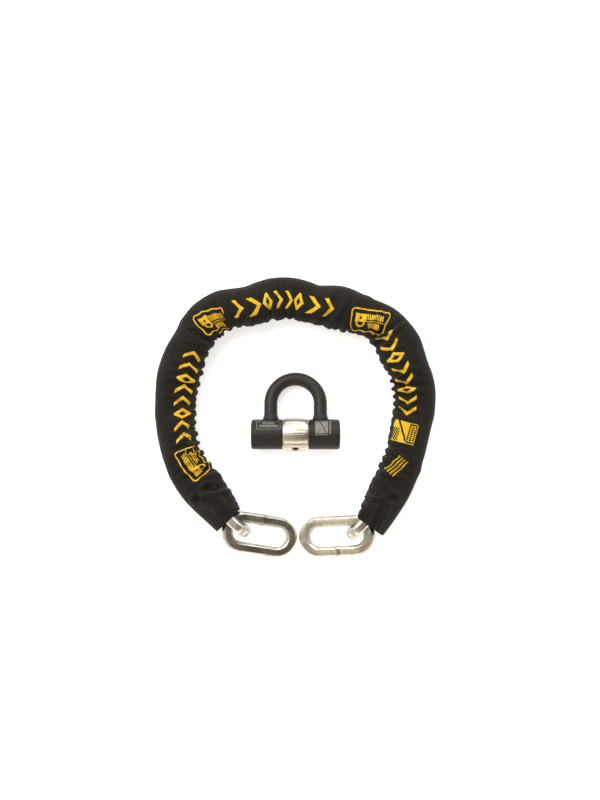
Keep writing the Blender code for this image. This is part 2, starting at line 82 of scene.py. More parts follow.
class Nodes:
    """Short calls for building a material's node tree."""

    def __init__(self, name, world=None):
        self.material = world or bpy.data.materials.new(name)
        self.material.use_nodes = True
        self.tree = self.material.node_tree
        self.shader = self.tree.nodes.get("Principled BSDF")

    def new(self, kind, **values):
        node = self.tree.nodes.new(kind)
        for key, value in values.items():
            setattr(node, key, value)
        return node

    def feed(self, socket, value):
        if isinstance(value, bpy.types.NodeSocket):
            self.tree.links.new(value, socket)
        else:
            socket.default_value = value

    def math(self, operation, a, b=0.0, c=0.0, clamp=False):
        node = self.new("ShaderNodeMath", operation=operation, use_clamp=clamp)
        for socket, value in zip(node.inputs, (a, b, c)):
            self.feed(socket, value)
        return node.outputs[0]

    def plus(self, a, b):
        return self.math("ADD", a, b)

    def minus(self, a, b):
        return self.math("SUBTRACT", a, b)

    def times(self, a, b):
        return self.math("MULTIPLY", a, b)

    def grow(self, a, factor, b):
        return self.math("MULTIPLY_ADD", a, factor, b)

    def size(self, value):
        return self.math("ABSOLUTE", value)

    def most(self, a, b):
        return self.math("MAXIMUM", a, b)

    def parts(self, vector):
        node = self.new("ShaderNodeSeparateXYZ")
        self.feed(node.inputs[0], vector)
        return node.outputs

    def dot(self, vector, axis):
        node = self.new("ShaderNodeVectorMath", operation="DOT_PRODUCT")
        self.feed(node.inputs[0], vector)
        node.inputs[1].default_value = axis
        return node.outputs["Value"]

    def stretched(self, vector, scale):
        node = self.new("ShaderNodeMapping")
        self.feed(node.inputs["Vector"], vector)
        node.inputs["Scale"].default_value = scale
        return node.outputs["Vector"]

    def coordinates(self, which="Object"):
        return self.new("ShaderNodeTexCoord").outputs[which]

    def noise(self, vector, scale, detail=3.0, roughness=0.55):
        node = self.new("ShaderNodeTexNoise")
        self.feed(node.inputs["Vector"], vector)
        for name, value in (("Scale", scale), ("Detail", detail), ("Roughness", roughness)):
            node.inputs[name].default_value = value
        return node.outputs["Fac"]

    def span(self, value, low, high, to_low=0.0, to_high=1.0):
        node = self.new("ShaderNodeMapRange")
        for socket, item in zip(node.inputs, (value, low, high, to_low, to_high)):
            self.feed(socket, item)
        return node.outputs[0]

    def mix(self, factor, a, b, blend="MIX"):
        node = self.new("ShaderNodeMix", data_type="RGBA", blend_type=blend)
        for socket, value in zip((node.inputs[0], node.inputs[6], node.inputs[7]), (factor, a, b)):
            self.feed(socket, value)
        return node.outputs[2]

    def bump(self, height, strength, distance, normal=None):
        node = self.new("ShaderNodeBump")
        self.feed(node.inputs["Height"], height)
        node.inputs["Strength"].default_value = strength
        node.inputs["Distance"].default_value = distance
        if normal is not None:
            self.feed(node.inputs["Normal"], normal)
        return node.outputs["Normal"]

    def set(self, **values):
        for key, value in values.items():
            self.feed(self.shader.inputs[key.replace("_", " ")], value)


# ---- materials


def shade(colour, share=1.0):
    """A colour socket's value, made darker or brighter."""
    return (*(min(0.92, c * share) for c in colour), 1.0)


def worn_zinc(name, tint, grime_tint, grime, roughness=(0.2, 0.46), relief=0.55, link=None):
    """Zinc-plated steel: mottled plating, handling scratches, spots of darker grime, darker crowns
    on a forged link and painted highlights on its chamfers and on sharp edges.

    link is a forged link's middle, its long and cross axes, its half straight length, the side
    of its weld and the colour of its crowns.
    """
    n = Nodes(name)
    place = n.coordinates()
    cloud = n.noise(place, 55.0, 5.0, 0.62)
    spots = n.noise(place, 310.0, 4.0, 0.6)
    scratch = n.noise(n.stretched(place, (900.0, 900.0, 120.0)), 1.0, 2.0, 0.5)
    base = n.mix(n.span(cloud, 0.38, 0.66), shade(tint), shade(tint, 0.8))
    if link:
        middle, ahead, cross, straight, weld_side, crown_tint = link
        along = n.minus(n.dot(place, ahead), middle.dot(ahead))
        aside = n.minus(n.dot(place, cross), middle.dot(cross))
        ragged = n.grow(cloud, 16 * MM, n.size(along))
        crown = n.span(ragged, straight + 1 * MM, straight + 13 * MM)
        base = n.mix(crown, base, shade(crown_tint))
    pale = n.span(n.noise(place, 150.0, 3.0, 0.6), 0.52, 0.66)
    base = n.mix(n.times(pale, 0.5), base, shade(tint, 1.45))
    dirt = n.math("MULTIPLY", n.span(spots, 0.46, 0.7), n.span(cloud, 0.42, 0.6), clamp=True)
    dirt = n.math("MULTIPLY", dirt, grime * 2.0, clamp=True)
    base = n.mix(dirt, base, shade(grime_tint))
    if link:
        off_seam = n.size(n.grow(spots, 3.2 * MM, n.minus(along, 1.6 * MM)))
        burnt = n.times(n.span(off_seam, 11 * MM, 2 * MM), n.span(spots, 0.44, 0.62))
        seam = n.times(n.span(off_seam, 1.3 * MM, 0.5 * MM), 0.75)
        on_side = n.span(n.times(aside, weld_side), 0.0, 2 * MM)
        heat = n.times(n.most(seam, n.times(burnt, 0.6)), on_side)
        base = n.mix(heat, base, (0.09, 0.06, 0.03, 1.0))
        # Painted highlight: chamfer faces, picked by their angle to the link's flat side, are
        # mixed towards near-white in place of the light they reflect.
        facing = n.size(n.dot(n.coordinates("Normal"), Vector(ahead).cross(Vector(cross))))
        bevel_highlight = n.times(n.span(facing, 0.97, 0.88), n.span(facing, 0.3, 0.5))
        base = n.mix(n.times(bevel_highlight, 0.42), base, (0.95, 0.94, 0.89, 1.0))
    # Painted highlight: sharp outer edges, found by their pointiness, are mixed towards near-white
    # in place of the light they catch.
    edge = n.new("ShaderNodeNewGeometry").outputs["Pointiness"]
    base = n.mix(n.times(n.span(edge, 0.51, 0.56), 0.55), base, (0.93, 0.92, 0.88, 1.0))
    rough = n.plus(n.span(cloud, 0.3, 0.7, *roughness), n.times(dirt, 0.16))
    height = n.plus(n.times(cloud, 0.6), n.times(scratch, 0.4))
    height = n.plus(height, n.times(spots, 0.35))
    n.set(Base_Color=base, Metallic=1.0, Roughness=rough)
    n.set(Normal=n.bump(height, relief, 0.00018))
    return n.material


def mould(n, colour, rough, grain=2600.0, specular=0.36):
    """Soft-touch moulding: fine grain and rubbed patches; returns its base colour and grain."""
    place = n.coordinates()
    fine = n.noise(place, grain, 2.0, 0.5)
    drift = n.noise(place, 60.0, 3.0, 0.55)
    rubbed = n.times(n.span(n.noise(place, 140.0, 4.0, 0.65), 0.58, 0.75), 0.12)
    n.set(Roughness=n.minus(n.span(fine, 0.3, 0.7, rough - 0.04, rough + 0.08), rubbed))
    n.set(Specular_IOR_Level=specular, Normal=n.bump(fine, 0.35, 0.00006))
    return n.mix(n.span(drift, 0.3, 0.7), shade(colour), shade(colour, 1.28)), fine


def moulded_black(name, *look):
    n = Nodes(name)
    n.set(Base_Color=mould(n, *look)[0])
    return n.material


def brushed_metal(name, colour, axis, rough=(0.2, 0.38), strength=0.3):
    """Metal turned or brushed round one axis: fine lines across it and faint handling marks."""
    n = Nodes(name)
    place = n.coordinates()
    scale = [60.0, 60.0, 60.0]
    scale[axis] = 5200.0
    lines = n.noise(n.stretched(place, scale), 1.0, 3.0, 0.6)
    cloud = n.noise(place, 120.0, 4.0, 0.6)
    base = n.mix(n.span(lines, 0.3, 0.7), shade(colour), shade(colour, 0.88))
    rough = n.plus(n.span(lines, 0.3, 0.7, *rough), n.span(cloud, 0.5, 0.8, 0.0, 0.08))
    n.set(Base_Color=base, Metallic=1.0, Roughness=rough)
    n.set(Normal=n.bump(lines, strength, 0.00003))
    return n.material


# ---- printed fabric

YARN = 0.85 * MM
INK_TINTS = ((0.93, 0.6, 0.02, 1.0), (0.8, 0.44, 0.008, 1.0))
# Printed marks: degrees round the ring, place across the top in mm (inward is positive) and
# the mark's own turn on the cloth in degrees.
WORD_MARKS = ((175.3, 9.0, 0.0), (96.5, 3.0, 0.0), (15.8, 8.5, 0.0))
FRAME_MARKS = ((209.5, 9.5, -6.0), (133.6, 6.0, 14.0), (48.0, 4.0, -14.0))
BLOCK_MARK = (-14.0, 8.5, 4.0)
LINES_MARK = (-30.0, 6.0, 24.0)
WORD_PITCH = 15.2
WORD_HALF_LENGTH = 8 * WORD_PITCH / 2
WORD_HALF_HEIGHT = 9.2


class Print(Nodes):
    """Printed shapes as distances in mm: below 0 is inked."""

    def cloth(self):
        """Cloth coordinates in mm: along the sleeve and round it."""
        node = self.new("ShaderNodeUVMap", uv_map="cloth")
        u, v = self.parts(node.outputs["UV"])[:2]
        return self.times(u, 1000.0), self.times(v, 1000.0)

    def local(self, u, v, places):
        """Coordinates in the nearest of several places (u, v, turn), sorted along u."""
        here = list(places[0])
        for before, after in zip(places, places[1:]):
            past = self.math("GREATER_THAN", u, (before[0] + after[0]) / 2)
            for k in range(3):
                here[k] = self.grow(past, after[k] - before[k], here[k])
        x, y = self.minus(u, here[0]), self.minus(v, here[1])
        cosine, sine = self.math("COSINE", here[2]), self.math("SINE", here[2])
        across = self.plus(self.times(x, cosine), self.times(y, sine))
        return across, self.minus(self.times(y, cosine), self.times(x, sine))

    def band(self, x, centre, half):
        return self.minus(self.size(self.minus(x, centre)), half)

    def stripes(self, x, pitch, half):
        """Bars of the given half width, twice the pitch apart."""
        return self.band(self.math("PINGPONG", x, pitch), pitch / 2, half)

    def box(self, x, y, cx, cy, hx, hy):
        return self.both(self.band(x, cx, hx), self.band(y, cy, hy))

    def away(self, dx, dy):
        squares = self.plus(self.times(dx, dx), self.times(dy, dy))
        return self.math("SQRT", squares)

    def round_box(self, x, y, hx, hy, radius):
        dx = self.most(self.band(x, 0.0, hx - radius), 0.0)
        dy = self.most(self.band(y, 0.0, hy - radius), 0.0)
        return self.minus(self.away(dx, dy), radius)

    def disc(self, x, y, cx, cy, radius):
        return self.minus(self.away(self.minus(x, cx), self.minus(y, cy)), radius)

    def outline(self, distance, half):
        return self.minus(self.size(distance), half)

    def either(self, first, *others):
        for other in others:
            first = self.math("MINIMUM", first, other)
        return first

    def both(self, a, b):
        return self.most(a, b)

    def without(self, a, b):
        return self.most(a, self.times(b, -1.0))

    def bar_row(self, x, y):
        """A row of bold geometric signs: two arrowheads, then a lozenge."""
        shifted = self.math("DIVIDE", self.plus(x, WORD_HALF_LENGTH), WORD_PITCH)
        number = self.math("FLOOR", shifted)
        cell = self.times(self.minus(self.minus(shifted, number), 0.5), WORD_PITCH)
        tall = self.size(y)
        arrow = self.grow(tall, 0.86, self.minus(cell, 4.6))
        arrow = self.minus(self.times(self.size(arrow), 0.76), 1.75)
        lozenge = self.grow(tall, 0.62, self.size(cell))
        lozenge = self.minus(self.times(self.size(self.minus(lozenge, 4.7)), 0.85), 1.6)
        third = self.math("GREATER_THAN", self.math("MODULO", number, 3.0), 1.5)
        sign = self.grow(lozenge, third, self.times(arrow, self.minus(1.0, third)))
        return self.both(sign, self.box(x, y, 0.0, 0.0, WORD_HALF_LENGTH, WORD_HALF_HEIGHT))

    def framed_sign(self, x, y):
        """A rounded frame with a small padlock sign and two rows of slanted blocks."""
        frame_line = self.outline(self.round_box(x, y, 22.5, 12.5, 4.0), 0.75)
        body = self.box(x, y, -11.5, -3.2, 6.4, 4.4)
        bow = self.outline(self.disc(x, y, -11.5, 2.2, 4.1), 1.05)
        bow = self.both(bow, self.minus(0.8, y))
        lock = self.without(self.either(body, bow), self.disc(x, y, -11.5, -3.0, 1.5))
        slant = self.grow(y, -0.35, x)
        rows = self.either(
            self.box(slant, y, 4.5, 5.2, 8.5, 2.9), self.box(slant, y, 7.0, -4.6, 11.0, 3.1)
        )
        bars = self.both(rows, self.stripes(slant, 2.7, 0.92))
        return self.either(frame_line, lock, bars, self.box(x, y, 8.0, 0.4, 13.5, 0.4))

    def block_sign(self, x, y):
        """A solid block with hatching, next to an outlined field with dashes."""
        block = self.box(x, y, 0.0, 4.0, 11.5, 8.6)
        hatch = self.minus(0.55, self.math("PINGPONG", self.grow(y, 0.8, x), 1.5))
        corner = self.both(self.band(x, 3.5, 7.0), self.minus(4.5, y))
        band = self.outline(self.grow(x, 0.55, self.minus(y, 0.5)), 1.2)
        block = self.without(self.without(block, self.both(hatch, corner)), band)
        field = self.outline(self.box(x, y, 0.0, -9.2, 11.0, 4.4), 0.4)
        dash = self.box(self.math("PINGPONG", x, 2.3), y, 1.15, -9.2, 0.72, 2.9)
        dash = self.without(dash, self.box(x, y, 0.0, -9.2, 20.0, 0.5))
        dash = self.both(dash, self.box(x, y, 0.0, -9.2, 9.6, 3.4))
        return self.either(block, field, dash)

    def line_rows(self, x, y):
        """Four rows of small dashes."""
        field = self.both(self.box(x, y, 0.0, 0.0, 12.5, 7.4), self.stripes(y, 3.7, 0.85))
        return self.both(field, self.stripes(x, 2.5, 0.85))


def sleeve_fabric(spots):
    """Woven black nylon with screen-printed yellow signs; spots holds their cloth places."""
    n = Print("printed_black_fabric")
    u, v = n.cloth()
    ink = n.bar_row(*n.local(u, v, spots["word"]))
    ink = n.either(ink, n.framed_sign(*n.local(u, v, spots["frame"])))
    ink = n.either(ink, n.block_sign(*n.local(u, v, spots["block"])))
    ink = n.either(ink, n.line_rows(*n.local(u, v, spots["lines"])))
    place = n.coordinates()
    ink = n.plus(ink, n.span(n.noise(place, 2400.0, 2.0, 0.6), 0.3, 0.7, -0.22, 0.22))

    warp, weft = (n.math("DIVIDE", axis, YARN / MM) for axis in (u, v))
    checker = n.plus(n.math("FLOOR", warp), n.math("FLOOR", weft))
    checker = n.math("MODULO", checker, 2.0)
    crown_a, crown_b = (n.size(n.math("SINE", n.times(a, math.pi))) for a in (warp, weft))
    weave = n.grow(n.minus(1.0, checker), crown_b, n.times(checker, crown_a))
    drift = n.span(n.noise(place, 34.0, 3.0, 0.6), 0.3, 0.7)
    rubbed = n.span(n.noise(place, 85.0, 5.0, 0.68), 0.56, 0.78)

    cloth = n.mix(drift, (0.0064, 0.0048, 0.0028, 1.0), (0.0112, 0.0088, 0.0054, 1.0))
    # Painted sheen: the cloth is mixed lighter on the yarn crowns of the weave.
    cloth = n.mix(n.times(weave, 0.45), cloth, (0.017, 0.0138, 0.0092, 1.0))
    cloth = n.mix(n.times(rubbed, 0.25), cloth, (0.024, 0.02, 0.0145, 1.0))
    yellow = n.mix(n.span(n.noise(place, 48.0, 3.0, 0.55), 0.32, 0.68), *INK_TINTS)
    # Painted shade: the ink is darkened in the weave's hollows between the yarns.
    yellow = n.mix(1.0, yellow, n.span(weave, 0.0, 0.55, 0.72, 1.0), "MULTIPLY")
    worn = n.times(n.span(n.noise(place, 620.0, 4.0, 0.7), 0.6, 0.72), 0.35)
    inked = n.times(n.span(ink, 0.16, -0.16), n.minus(1.0, worn))
    n.set(Base_Color=n.mix(inked, cloth, yellow), Roughness=n.span(inked, 0.0, 1.0, 0.88, 0.6))
    n.set(Specular_IOR_Level=0.28, Sheen_Weight=0.05, Sheen_Roughness=0.45)
    height = n.grow(n.noise(place, 1900.0, 3.0, 0.6), 0.3, weave)
    normal = n.bump(height, 0.7, 0.00022)
    n.set(Normal=n.bump(inked, 0.5, 0.00008, normal))
    return n.material


# ---- sleeve shape

RING = Vector((0.89 * MM, 15.0 * MM, 0.0))
# Stations round the ring, from the left mouth to the right one:
# degrees from +X, distance of the inner and of the outer edge from the ring's middle in mm.
STATIONS = (
    (240.2, 123.2, 156.6), (235, 115.6, 154.6), (229, 110.6, 153.4), (222, 107.4, 153.2),
    (212, 110.4, 151.4), (197, 108.6, 148.8), (179, 105.2, 146.4), (164, 103.6, 149),
    (149, 107, 147.6), (137, 110.6, 147.2), (125, 103.4, 143.2), (116, 94.8, 136.2),
    (104, 92.6, 135.4), (92, 93.4, 131.2), (83, 89.6, 127.6), (74, 87.4, 130.4), (62, 90.8, 136.2),
    (50, 100.8, 138.2), (41, 106.2, 145.2), (29, 100.6, 149.2), (20, 103.4, 147.2),
    (5, 106, 147.2), (-13, 102.8, 145.2), (-31, 109.6, 148.8), (-46, 115.6, 157.4),
    (-52, 122.6, 161.4), (-58.4, 133.2, 166.6),
)
LEFT_MOUTH_SKEW = math.radians(-7.0)
RIGHT_MOUTH_SKEW = math.radians(5.0)
ROWS = 421
COLUMNS = 56
FLOOR_LIFT = 0.25 * MM
TOP_AT_UPRIGHT = 38.2 * MM
TOP_AT_FLAT = 35.0 * MM
# Powers of the tube's oval outline: nearly round above, boxier where it lies on the floor.
TOP_POWER = 2 / 2.35
LOW_POWER = 2 / 3.4
LINK_HALF_WIDTH = 17.5 * MM
LINK_STRAIGHT = 16.65 * MM
CLOTH_GAP = 1.6 * MM
CLOTH_GAP_BLEND = 1.2 * MM
CLOTH_WALL = 0.8 * MM
SKEW_REACH = 40 * MM
# Rows of cloth that the hem covers.
HEM_ROWS = (1, 3, 5, 7, 9)


def smooth(x):
    x = np.clip(x, 0.0, 1.0)
    return x * x * (3.0 - 2.0 * x)


def spline(x, y, at):
    """Natural cubic spline through (x, y), read at the given places."""
    x, y = np.asarray(x, float), np.asarray(y, float)
    count, gap, slope = len(x), np.diff(x), np.diff(y) / np.diff(x)
    matrix, right = np.zeros((count, count)), np.zeros(count)
    matrix[0, 0] = matrix[-1, -1] = 1.0
    for i in range(1, count - 1):
        matrix[i, i - 1 : i + 2] = gap[i - 1], 2.0 * (gap[i - 1] + gap[i]), gap[i]
        right[i] = 6.0 * (slope[i] - slope[i - 1])
    second = np.linalg.solve(matrix, right)
    cell = np.clip(np.searchsorted(x, at) - 1, 0, count - 2)
    h, left, over = gap[cell], at - x[cell], x[cell + 1] - at
    curve = (second[cell] * over**3 + second[cell + 1] * left**3) / (6.0 * h)
    curve = curve + (y[cell] / h - second[cell] * h / 6.0) * over
    return curve + (y[cell + 1] / h - second[cell + 1] * h / 6.0) * left


def smooth_noise(rng, u, v, cell_u, cell_v, wrap):
    """Smooth lattice noise on the cloth, in -1..1, which joins up after the given wrap in v."""
    cells_u = int(np.ceil(u.max() / cell_u)) + 3
    cells_v = max(3, int(round(wrap / cell_v)))
    lattice = rng.uniform(-1.0, 1.0, (cells_u, cells_v))
    fu, fv = u / cell_u, (v / wrap % 1.0) * cells_v
    iu, iv = np.floor(fu).astype(int), np.floor(fv).astype(int)
    tu, tv = smooth(fu - iu), smooth(fv - iv)
    nv = (iv + 1) % cells_v
    iv = iv % cells_v
    low = lattice[iu, iv] * (1 - tv) + lattice[iu, nv] * tv
    high = lattice[iu + 1, iv] * (1 - tv) + lattice[iu + 1, nv] * tv
    return low * (1 - tu) + high * tu


def lengths(vectors):
    return np.linalg.norm(vectors, axis=-1)


def link_outline(ahead):
    """Half the width of a link's outline at a distance from its middle."""
    crown = np.clip(ahead - LINK_STRAIGHT, 0.0, LINK_HALF_WIDTH)
    return np.sqrt(LINK_HALF_WIDTH**2 - crown**2)


def from_link(k, points):
    """Distances ahead of and aside from the middle of link k, and its cross direction."""
    along = np.array(P[k + 1] - P[k])[:2]
    along = along / np.linalg.norm(along)
    cross = np.array([-along[1], along[0]])
    offset = points[:, :, :2] - np.array((P[k] + P[k + 1]) / 2)[:2]
    return np.abs(offset @ along), offset @ cross, cross


class Sleeve:
    """The tube of cloth: rows run along it from the left mouth, columns run round it."""

    def __init__(self):
        degrees = np.array([s[0] for s in STATIONS])
        inner = np.array([s[1] for s in STATIONS]) * MM
        outer = np.array([s[2] for s in STATIONS]) * MM
        fine = np.linspace(degrees[0], degrees[-1], 3000)
        middle = spline(-degrees, (inner + outer) / 2.0, -fine)
        half = spline(-degrees, (outer - inner) / 2.0, -fine)
        turn = np.radians(fine)
        xy = np.stack([np.cos(turn), np.sin(turn)], 1) * middle[:, None] + np.array(RING)[:2]
        run = np.concatenate([[0.0], np.cumsum(lengths(np.diff(xy, axis=0)))])
        self.length = run[-1]
        self.s = np.linspace(0.0, self.length, ROWS)
        self.centre = np.stack([np.interp(self.s, run, xy[:, k]) for k in (0, 1)], 1)
        self.half = np.interp(self.s, run, half)
        ahead = np.gradient(self.centre, self.s, axis=0)
        self.ahead = ahead / lengths(ahead)[:, None]
        self.side = np.stack([-self.ahead[:, 1], self.ahead[:, 0]], 1)
        self.middles = [self.nearest((P[k] + P[k + 1]) / 2) for k in range(LINKS)]
        self.flatness = np.zeros(ROWS)
        least = np.zeros(ROWS)
        for k in range(1, LINKS, 2):
            away = np.abs(self.s - self.middles[k])
            row = int(np.argmin(away))
            middle = np.array((P[k] + P[k + 1]) / 2)[:2]
            aside = abs(float((middle - self.centre[row]) @ self.side[row]))
            self.flatness = np.maximum(self.flatness, smooth(1.35 - away / (26 * MM)))
            width = link_outline(away)
            least = np.maximum(least, np.where(width > 0.0, width + aside, 0.0))
        least = least + CLOTH_GAP
        soft = CLOTH_GAP_BLEND
        self.half = soft * np.logaddexp(self.half / soft, least / soft)

    def at(self, degrees):
        """Place along the sleeve, in metres, at that angle round the ring."""
        turn = np.degrees(np.arctan2(self.centre[:, 1] - RING.y, self.centre[:, 0] - RING.x))
        turn = np.where(turn < -90.0, turn + 360.0, turn)
        return self.s[int(np.argmin(np.abs(turn - degrees)))]

    def nearest(self, point):
        away = np.hypot(self.centre[:, 0] - point.x, self.centre[:, 1] - point.y)
        return self.s[int(np.argmin(away))]

    def sections(self):
        """Every column's angle round the tube, and each row's outline: outward and up."""
        angle = np.linspace(-0.5 * np.pi, 1.5 * np.pi, COLUMNS, endpoint=False)
        power = np.where(np.sin(angle) > 0, TOP_POWER, LOW_POWER)
        across = np.sign(np.cos(angle)) * np.abs(np.cos(angle)) ** power
        upward = np.sign(np.sin(angle)) * np.abs(np.sin(angle)) ** power
        flat = self.flatness[:, None]
        top = TOP_AT_UPRIGHT * (1 - flat) + TOP_AT_FLAT * flat
        lift = np.where(upward[None, :] > 0, top - CHAIN_Z, CHAIN_Z - FLOOR_LIFT)
        out = self.half[:, None] * across[None, :]
        up = CHAIN_Z + lift * upward[None, :]
        return angle, out, up

    def place(self, out, up):
        """World points of the rows, with the two mouths cut a little askew."""
        s = self.s[:, None]
        lean = np.tan(LEFT_MOUTH_SKEW) * smooth(1 - s / SKEW_REACH)
        lean = lean + np.tan(RIGHT_MOUTH_SKEW) * smooth(1 - (self.length - s) / SKEW_REACH)
        xy = self.centre[:, None, :] + self.side[:, None, :] * out[:, :, None]
        xy = xy + self.ahead[:, None, :] * (lean * out)[:, :, None]
        return np.concatenate([xy, up[:, :, None]], 2)


# ---- cloth simulation

CUT_SLACK = 1.02
SETTLE_STEPS = 420
MOUTH_HOLD = 9 * MM
MAX_PUFF = 4.8 * MM
MAX_DIP = 1.1 * MM
KEPT_SPEED = 0.9
TOP_SPEED = 0.4 * MM
STEPS_PER_LINK_CHECK = 12
# How firmly threads keep their length: along, round, over two round, slanting, over two along.
ALONG_GRIP, ROUND_GRIP, ROUND_BEND_GRIP, SHEAR_GRIP, BEND_GRIP = 0.85, 0.8, 0.25, 0.12, 0.35
LINK_COVER = 1.0 * MM
# Half width of the cloth's ridge over a link on edge, at the mouths and elsewhere.
OUTER_SPREAD, INNER_SPREAD = 7.0 * MM, 5.5 * MM
SIDE_COVER = 1.1 * MM
# Creases on the upper side: degrees round the ring and place across (-1 inner edge, 1 outer
# edge) of both ends, then depth and half width in mm.
CREASES = (
    (226, -0.9, 220, 0.2, 2, 4), (217, -0.9, 213, 0.7, 1.6, 4.5), (203, -0.9, 206, 0.5, 1.3, 3.5),
    (192, -0.9, 190, 0.1, 1.6, 3), (181, -0.9, 177.5, 0.3, 1.5, 3.2), (170, -1, 169, 0.2, 1.7, 3),
    (158, -0.9, 155, 0.6, 1.2, 4), (143, -0.9, 147, 0.4, 1.4, 3.5), (127, -1, 130, 0, 2, 3),
    (118, -1, 119, 0.5, 1.8, 3.5), (106, -1, 103, 0, 1.4, 3), (88, -1, 90, 0.4, 1.5, 3.5),
    (72, -1, 66, 0.6, 2, 4), (57, -1, 59.5, 0.2, 1.6, 3), (43, -1, 38, 0, 2, 3),
    (30, -1, 24, 0, 2, 3.2), (12, -1, 8, 0.3, 1.5, 3.2), (-3, -1, -7, 0.4, 1.6, 3.2),
    (-22, -1, -19, 0.2, 1.2, 3.5), (-37, -1, -39, 0.4, 1.8, 4.5),
)
# Folds at the mouths: which mouth (0 left, 1 right), mm back from it and place across of both
# ends, then depth and half width in mm.
MOUTH_FOLDS = (
    (0, -1, -0.14, 20, -0.1, 4.8, 2.8), (0, 20, -0.1, 31, 0.1, 4.4, 2.8),
    (0, 31, 0.1, 39, 0.45, 3.4, 2.8), (0, 27, -1.15, 40, -0.13, 5.2, 2.7),
    (1, -1, 0.12, 28, 0.05, 4.8, 2.6), (1, 25, -0.31, 38.6, 0.3, 3, 2.6),
    (1, 20, -1.1, 23, -0.6, 2.6, 2.8), (1, 30, -1.1, 33, -0.5, 3, 3),
)


def outward_normals(points):
    along = np.gradient(points, axis=0)
    around = np.roll(points, -1, 1) - np.roll(points, 1, 1)
    normal = np.cross(around, along)
    return normal / np.maximum(lengths(normal), 1e-12)[:, :, None]


def grid_faces(rows, columns, closed=False):
    """Quads of a tube of rows; closed also joins its last row to the first."""
    faces = []
    for i in range(rows if closed else rows - 1):
        here, ahead = i * columns, (i + 1) % rows * columns
        for j in range(columns):
            over = (j + 1) % columns
            faces.append((here + j, here + over, ahead + over, ahead + j))
    return faces


def strain(apart, rest, stiffness):
    """Half the move that brings threads back towards their rest length."""
    now = np.maximum(lengths(apart), 1e-9)
    return apart * (0.5 * stiffness * (now - rest) / now)[:, :, None]


def pull(points, first, second, rest, stiffness):
    """Moves two slices of cloth points towards their rest distance, each by half."""
    shift = strain(points[second] - points[first], rest, stiffness)
    points[first] += shift
    points[second] -= shift


def pull_round(points, step, rest, stiffness):
    """The same round the tube, where the last column joins the first."""
    shift = strain(np.roll(points, -step, 1) - points, rest, stiffness)
    points += 0.7 * (shift - np.roll(shift, step, 1))


def pull_slant(points, step, rest, stiffness):
    """Shear threads: a point and the one a row ahead and a column over."""
    shift = strain(np.roll(points[1:], -step, 1) - points[:-1], rest, stiffness)
    points[:-1] += 0.7 * shift
    points[1:] -= 0.7 * np.roll(shift, step, 1)


def over_links(shape, upward):
    """Lowest height the upper cloth may have over the links that stand on edge."""
    least = np.zeros(shape.shape[:2])
    for k in range(0, LINKS, 2):
        ahead, aside, _ = from_link(k, shape)
        height = link_outline(ahead)
        spread = OUTER_SPREAD if k in (0, LINKS - 1) else INNER_SPREAD
        drop = np.clip(np.abs(aside) - spread, 0.0, None) ** 2 / (6 * MM)
        top = CHAIN_Z + height + LINK_COVER - drop
        least = np.maximum(least, np.where(height > 0, top, 0.0))
    return np.where(upward[None, :] > 0.05, least, 0.0)


def beside_links(points):
    """Keeps the sides of the cloth off the links that lie flat."""
    level = np.clip(np.abs(points[:, :, 2] - CHAIN_Z) - 5 * MM, 0.0, None)
    for k in range(1, LINKS, 2):
        ahead, aside, cross = from_link(k, points)
        width = link_outline(ahead)
        least = width + SIDE_COVER - level**2 / (4 * MM)
        short = np.where(width > 0.0, np.clip(least - np.abs(aside), 0.0, 6 * MM), 0.0)
        points[:, :, :2] += (short * np.sign(aside))[:, :, None] * cross


def settle(shape, cut, hold, nudge, least):
    """Cloth solver: threads keep their cut length, the links and the floor hold the cloth.

    shape is where the tube would lie if it could shrink, cut is the length of every thread
    piece, hold says how firmly each point keeps its place, nudge starts the puckers and
    least is how low each point may sink.
    """
    normal = outward_normals(shape)
    points = shape + normal * nudge[:, :, None]
    girth = lengths(np.roll(shape, -1, 1) - shape)
    girth_two = lengths(np.roll(shape, -2, 1) - shape)
    slant = np.hypot(cut, (girth[1:] + girth[:-1]) / 2)
    two = cut[1:] + cut[:-1]
    rows = shape.shape[0]
    speed = np.zeros_like(points)
    for step in range(SETTLE_STEPS):
        before = points.copy()
        points = points + KEPT_SPEED * speed
        for offset in (0, 1):
            first = slice(offset, rows - 1, 2)
            pull(points, first, slice(offset + 1, rows, 2), cut[first], ALONG_GRIP)
        pull_round(points, 1, girth, ROUND_GRIP)
        pull_round(points, 2, girth_two, ROUND_BEND_GRIP)
        pull_slant(points, 1, slant, SHEAR_GRIP)
        pull_slant(points, -1, slant, SHEAR_GRIP)
        for offset in range(4):
            first = slice(offset, rows - 2, 4)
            second = slice(offset + 2, rows, 4)
            pull(points, first, second, two[first], BEND_GRIP)
        points = points + (shape - points) * hold[:, :, None]
        away = ((points - shape) * normal).sum(2)
        points = points + normal * (np.clip(away, -MAX_DIP, MAX_PUFF) - away)[:, :, None]
        points[:, :, 2] = np.maximum(points[:, :, 2], least)
        if (step + 1) % STEPS_PER_LINK_CHECK == 0:
            beside_links(points)
        speed = np.clip(points - before, -TOP_SPEED, TOP_SPEED)
    return points


def from_fold(here, start, end):
    """Distance of the cloth's points from a fold's line, and how far along it they are."""
    line = end - start
    share = np.clip((here - start) @ line / (line @ line), 0.0, 1.0)
    return lengths(here - start - share[:, :, None] * line), share


